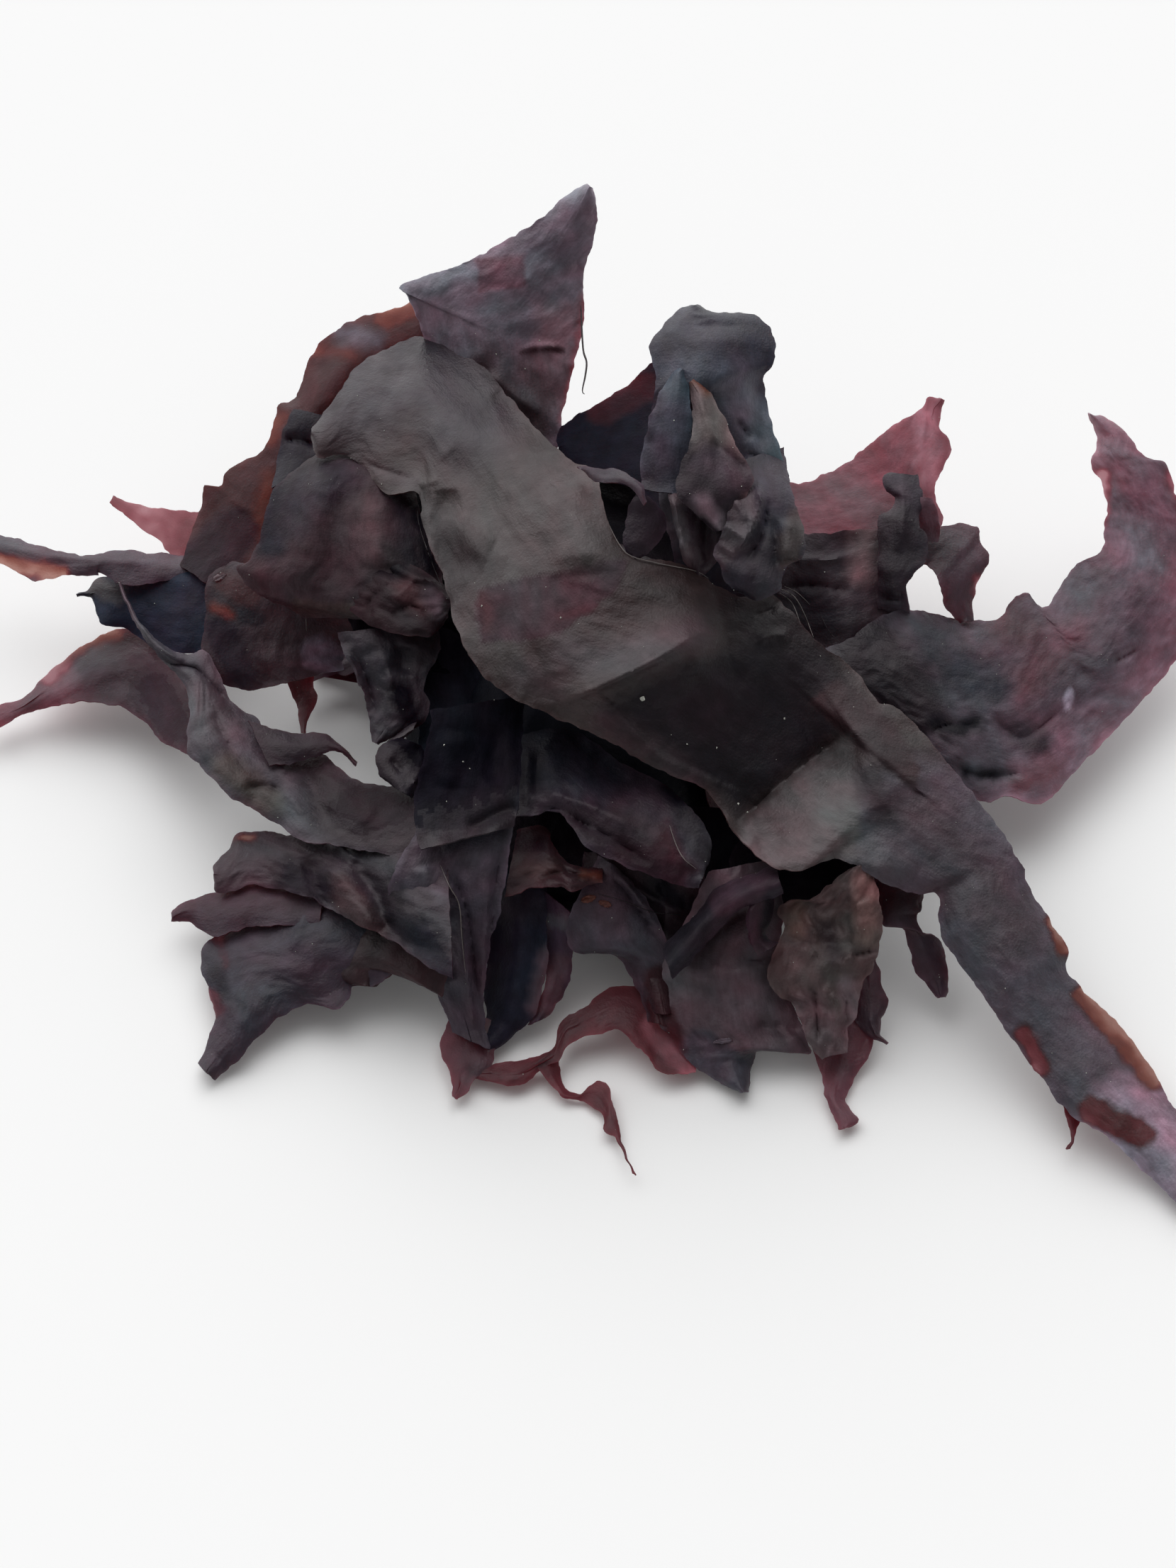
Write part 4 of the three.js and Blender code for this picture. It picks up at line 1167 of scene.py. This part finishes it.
def back_frond(name, seed, angle, root, half, length, low):
    rows = round(length / BACK_GRID)
    columns = round(2 * half / BACK_GRID)
    u = np.linspace(0, 1, rows + 1)[:, None]
    side = np.linspace(1, -1, columns + 1)[None, :]
    s = u * length + 0 * side
    taper = np.sqrt(np.maximum(0.03, np.sin(np.pi * (0.22 + 0.75 * u))))
    width = half * taper * (1 + BACK_UNEVEN_WIDTH * noise(s / 13, 2 * np.sign(side) + 0 * u, seed + 3))
    t = side * width
    to_edge = np.minimum((1 - np.abs(side)) * width, length - s + 0.5)
    cleft = BACK_CLEFT * u**3 * np.exp(-(((side - 0.5 * math.sin(seed)) / BACK_CLEFT_WIDTH) ** 2))
    reach = root + s - cleft * length + uneven(BACK_UNEVEN_TIP, s, t, seed + 4)
    bend = angle + (BACK_BEND * math.sin(2.4 * seed) + BACK_SWAY * np.sin(3 * u + seed)) * u
    across = t + np.exp(-to_edge / BACK_RAG_REACH) * uneven(BACK_RAG, s, t, seed + 6)
    x = CORE_X + reach * np.cos(bend) - across * np.sin(bend)
    y = CORE_Y + reach * np.sin(bend) + across * np.cos(bend)
    if low:
        z = BACK_ROOT_HEIGHT + (BACK_TIP_HEIGHT - BACK_ROOT_HEIGHT) * u**0.8 - BACK_SAG * side**2
    else:
        out = np.hypot((x - CORE_X) / CORE_REACH_X, (y - CORE_Y) / CORE_REACH_Y)
        z = CORE_HEIGHT * (1 - out**CORE_STEEPNESS) + BACK_LIFT
    z = z + BACK_TWIST * side * np.sin(4 * u + seed) + BACK_CRUMPLE * crumpled(s, t, seed)
    curl = BACK_CURL * noise(s / 16, 3 * np.sign(side) + 0 * u, seed + 5)
    z = z + curl * np.abs(side) ** 3 * np.minimum(1, 4 * u)
    grid = np.stack(np.broadcast_arrays(x, y, np.maximum(z, TABLE_CLEARANCE)), axis=-1)
    depth, shade = skin(s, t, to_edge, BACK_LAYERS, seed)
    colour = tone_of(BACK_TONES[seed % len(BACK_TONES)]) * shade
    finish = np.full(depth.shape, GLOSSES.index("soft"))
    dye = np.log(PIGMENTS["purple"]) + 0 * shade
    sheets(name, [plate(grid, colour, depth, dye, finish, streaks(s, t, seed))])


for tier, (tag, fan) in enumerate(dict(back=BACK_LOW, back_high=BACK_HIGH).items()):
    angles = np.radians(np.linspace(fan["first"], fan["last"], len(fan["lengths"])))
    for order, (angle, length) in enumerate(zip(angles, fan["lengths"])):
        seed = 901 + 41 * order + 500 * tier
        back_frond(f"{tag}_{order}", seed, angle, fan["root"], fan["half"], length, tier == 0)


# The frond nearest to the viewer at a place of the layout plane, and which way it faces
def landed(spot):
    best = None
    for place, grid, out in LAID:
        gap = np.abs(place - spot).sum(axis=-1)
        at = np.unravel_index(gap.argmin(), gap.shape)
        if gap[at] < 1.4 * GRID and (best is None or grid[at][2] > best[0][2]):
            best = (grid[at], out[at] * np.sign(out[at] @ (EYE - grid[at])))
    return best


# Torn bits that lie on the fronds: place, length, width, turn and colour
FLAKES = [
    ("166,253.4", 4, 1.8, 0.1, "120,45,26"),
    ("171,254.6", 3.4, 1.6, -0.3, "100,40,26"),
    ("204,293.8", 4.6, 1.2, 0.05, "110,100,105"),
    ("62,162.4", 3.6, 2, 0.3, "120,95,90"),
]
FLAKE_STEPS = 10
FLAKE_LAYERS = 2.4
u = np.linspace(-1, 1, FLAKE_STEPS + 1)[:, None]
v = np.linspace(-1, 1, FLAKE_STEPS + 1)[None, :]
plates = []
for order, (spot, long, wide, turn, tone) in enumerate(FLAKES):
    rest, up = landed(path(spot)[0])
    seed = 1700 + 11 * order
    ahead = np.cross((math.sin(turn), -math.cos(turn), 0), up)
    ahead = ahead / np.linalg.norm(ahead)
    aside = np.cross(up, ahead)
    a = long / 2 * u * (1 + 0.35 * noise(2 * v + 0 * u, 0 * u * v + 5, seed)) * (1 - 0.25 * v**2)
    b = wide / 2 * v * (1 + 0.35 * noise(2 * u + 0 * v, 0 * u * v + 9, seed)) * (1 - 0.35 * u**2)
    lift = 0.4 + 0.35 * noise(1.6 * u + 0 * v, 1.6 * v + 0 * u, seed + 1)
    grid = rest + a[..., None] * ahead + b[..., None] * aside + lift[..., None] * up
    colour = tone_of(tone) * (np.ones(grid.shape) * SKIN_CAST)
    depth = np.full(lift.shape, FLAKE_LAYERS)
    finish = np.full(lift.shape, GLOSSES.index("soft"))
    dye = np.log(PIGMENTS["purple"]) + 0 * grid
    plates.append(plate(grid, colour, depth, dye, finish, streaks(a, b, seed)))
sheets("torn_flakes", plates)

# Loose fibres along the fronds: line, thickness, lift in the middle and colour
PALE_FIBRE = "150,130,125"
DARK_FIBRE = "20,14,16"
FIBRES = [
    ("219.6,165.6 224,168 227,173 229.6,179.6", 0.32, 1.4, PALE_FIBRE),
    ("221.4,165.2 225,167 228.6,170.4", 0.22, 1, PALE_FIBRE),
    ("220,167 223.6,170 226,176", 0.22, 1.2, PALE_FIBRE),
    ("232,174 234,178 237,181", 0.25, 0.8, DARK_FIBRE),
    ("86.4,173.6 86.6,178", 0.22, 0.6, PALE_FIBRE),
    # The next strand runs along the top edge of main: a pale line that is partly a worn edge and partly a
    # painted highlight
    ("172,148 174.6,153 178,156.6 186,158.8 196,160.8 200,163", 0.3, 0.3, PALE_FIBRE),
    ("124.4,244 127,250 129.6,255 130.4,264 131.4,274", 0.3, 0.6, PALE_FIBRE),
    ("189,232.6 190.8,238 193,242 196.6,245", 0.25, 0.6, PALE_FIBRE),
    ("118.6,138.6 118,146 121,156 125,166", 0.25, 0.4, DARK_FIBRE),
    ("169,252 176,254 184,257 192,258", 0.25, 0.8, DARK_FIBRE),
]
FIBRE_STEP = 0.6
FIBRE_SIDES = 6
FIBRE_GAP = 0.3
HANGING_THREAD = "164,86 164.6,98 165.6,102 165.2,106 164.4,110 165,111"
HANGING_HEIGHT = 80
HANGING_STEPS = 40
HANGING_THICKNESS = 0.6


# A thin round strand along points
def strand(points, thick):
    share = np.linspace(0, 1, len(points))[:, None, None]
    along = np.gradient(points, axis=0)
    along /= np.linalg.norm(along, axis=1, keepdims=True)
    across = np.cross(along, (0.3, 0.5, 0.8))
    across /= np.linalg.norm(across, axis=1, keepdims=True)
    up = np.cross(along, across)
    a = np.linspace(0, 2 * np.pi, FIBRE_SIDES, endpoint=False)[None, :, None]
    ring = np.cos(a) * across[:, None] + np.sin(a) * up[:, None]
    return points[:, None] + thick / 2 * (0.3 + 0.7 * np.sin(np.pi * share) ** 0.5) * ring


hanging = seen(spline(path(HANGING_THREAD), HANGING_STEPS), np.full(HANGING_STEPS + 1, HANGING_HEIGHT))
runs = [(hanging, HANGING_THICKNESS, DARK_FIBRE)]
for line, thick, lift, tone in FIBRES:
    places = spline(path(line), round(spline(path(line)) / FIBRE_STEP))
    rests = [landed(place) for place in places]
    places = places[[rest is not None for rest in rests]]
    level = np.pad([rest[0][2] for rest in rests if rest], 3, "edge")
    arch = FIBRE_GAP + lift * np.sin(np.pi * np.linspace(0, 1, len(places)))
    runs.append((seen(places, np.convolve(level, np.ones(7) / 7, "valid") + arch), thick, tone))
points = []
faces = []
tones = []
for run, thick, tone in runs:
    tube = strand(run, thick).reshape(-1, 3)
    faces += tube_faces(len(run), FIBRE_SIDES, sum(len(p) for p in points))
    points.append(tube)
    tones.append(np.tile(tone_of(tone), (len(tube), 1)))
fibres = mesh_piece("fibres", np.concatenate(points), faces, [DULSE["soft"]])
colour_layer(fibres, "tone", np.concatenate(tones))

# Salt grains: the ones that stand out, and a fine scatter
SALT_PLACES = (
    "101,111.6 211,229 133,217 126,226 125.6,210 130.4,214.4 221.4,202.4 194,209.6 208,226.6 190,118.6 "
    "209,137.4 202.4,211 88,233 233,161 140,100 152,96 148,104 136,171 158,174"
)
SALT_SIZES = (0.26, 0.42)
BIG_GRAIN = "181.4,197"
BIG_GRAIN_SIZE = 0.95
SCATTER = 320
SCATTER_FROM = (20, 60)
SCATTER_TO = (330, 320)
SCATTER_SIZES = (0.1, 0.22)
dice = np.random.default_rng(12)
corners = np.array([[i, j, k] for i in (-1, 1) for j in (-1, 1) for k in (-1, 1)])
sides = [[0, 1, 3, 2], [4, 6, 7, 5], [0, 4, 5, 1], [2, 3, 7, 6], [0, 2, 6, 4], [1, 5, 7, 3]]
grains = [(spot, dice.uniform(*SALT_SIZES)) for spot in path(SALT_PLACES)]
grains.append((path(BIG_GRAIN)[0], BIG_GRAIN_SIZE))
scatter = dice.uniform(SCATTER_FROM, SCATTER_TO, (SCATTER, 2))
grains += [(spot, dice.uniform(*SCATTER_SIZES)) for spot in scatter]
points = []
faces = []
for spot, size in grains:
    cuts = corners * dice.uniform(0.6, 1.1, 3) + dice.uniform(-0.3, 0.3, corners.shape)
    turn = np.linalg.qr(dice.normal(size=(3, 3)))[0]
    rest = landed(spot)
    if rest is None:
        continue
    first = 8 * len(points)
    handed = 1 if np.linalg.det(turn) > 0 else -1
    points.append(rest[0] + rest[1] * (THICKNESS / 2 + 0.25 * size) + size / 2 * cuts @ turn)
    faces += [[first + n for n in side[::handed]] for side in sides]
salt_material = bpy.data.materials.new("salt")
salt = Nodes(salt_material)
cloudy = salt.spread(salt.node("TexCoord")["Object"], 0.35, 0.7, Scale=2500, Detail=3)
warm = salt.node("Math", cloudy, 0.9, operation="MULTIPLY")["Value"]
tint = salt.node("CombineColor", cloudy, cloudy, warm)["Color"]
crystal = salt.node("BsdfPrincipled", Base_Color=tint, Roughness=0.35)["BSDF"]
salt.node("OutputMaterial", Surface=crystal)
mesh_piece("salt_grains", np.concatenate(points), faces, [salt_material])

# Pale floor
bpy.ops.mesh.primitive_plane_add(size=6, location=(0, 0, 0))
floor = bpy.context.object
floor.name = "floor"
floor_material = bpy.data.materials.new("floor")
pale = Nodes(floor_material)
paint = pale.node("BsdfPrincipled", Base_Color=(0.92, 0.92, 0.92, 1), Roughness=0.9, Specular_IOR_Level=0.1)
pale.node("OutputMaterial", Surface=paint["BSDF"])
floor.data.materials.append(floor_material)

# Soft studio light: a bright dome behind and above, dim towards the viewer
BRIGHT_SIDE = (-0.25, 0.72, 0.65)
BRIGHT_FROM = 0.35
DIM_LIGHT = 0.26
BRIGHT_LIGHT = 2.5
world = bpy.data.worlds.new("studio")
sky = Nodes(world)
direction = sky.node("TexCoord")["Generated"]
turned = sky.node("VectorMath", direction, BRIGHT_SIDE, operation="DOT_PRODUCT")["Value"]
dome = sky.node(
    "MapRange", interpolation_type="SMOOTHSTEP", Value=turned, From_Min=BRIGHT_FROM, From_Max=1.0,
    To_Min=DIM_LIGHT, To_Max=BRIGHT_LIGHT,
)
glow = sky.node("Background", Color=(1, 1, 1, 1), Strength=dome["Result"])
sky.node("OutputWorld", Surface=glow["Background"])
bpy.context.scene.world = world

# Camera at the photograph's viewing angle
SENSOR = 36
camera_data = bpy.data.cameras.new("camera")
camera_data.sensor_width = SENSOR
camera_data.lens = SENSOR * VIEW_DISTANCE / VIEW_TALL
camera = bpy.data.objects.new("camera", camera_data)
camera.location = (EYE + CLUMP_SHIFT) * MM
camera.rotation_euler = (math.pi / 2 - VIEW_ELEVATION, 0, 0)
bpy.context.collection.objects.link(camera)
bpy.context.scene.camera = camera
bpy.context.scene.view_settings.view_transform = "Standard"
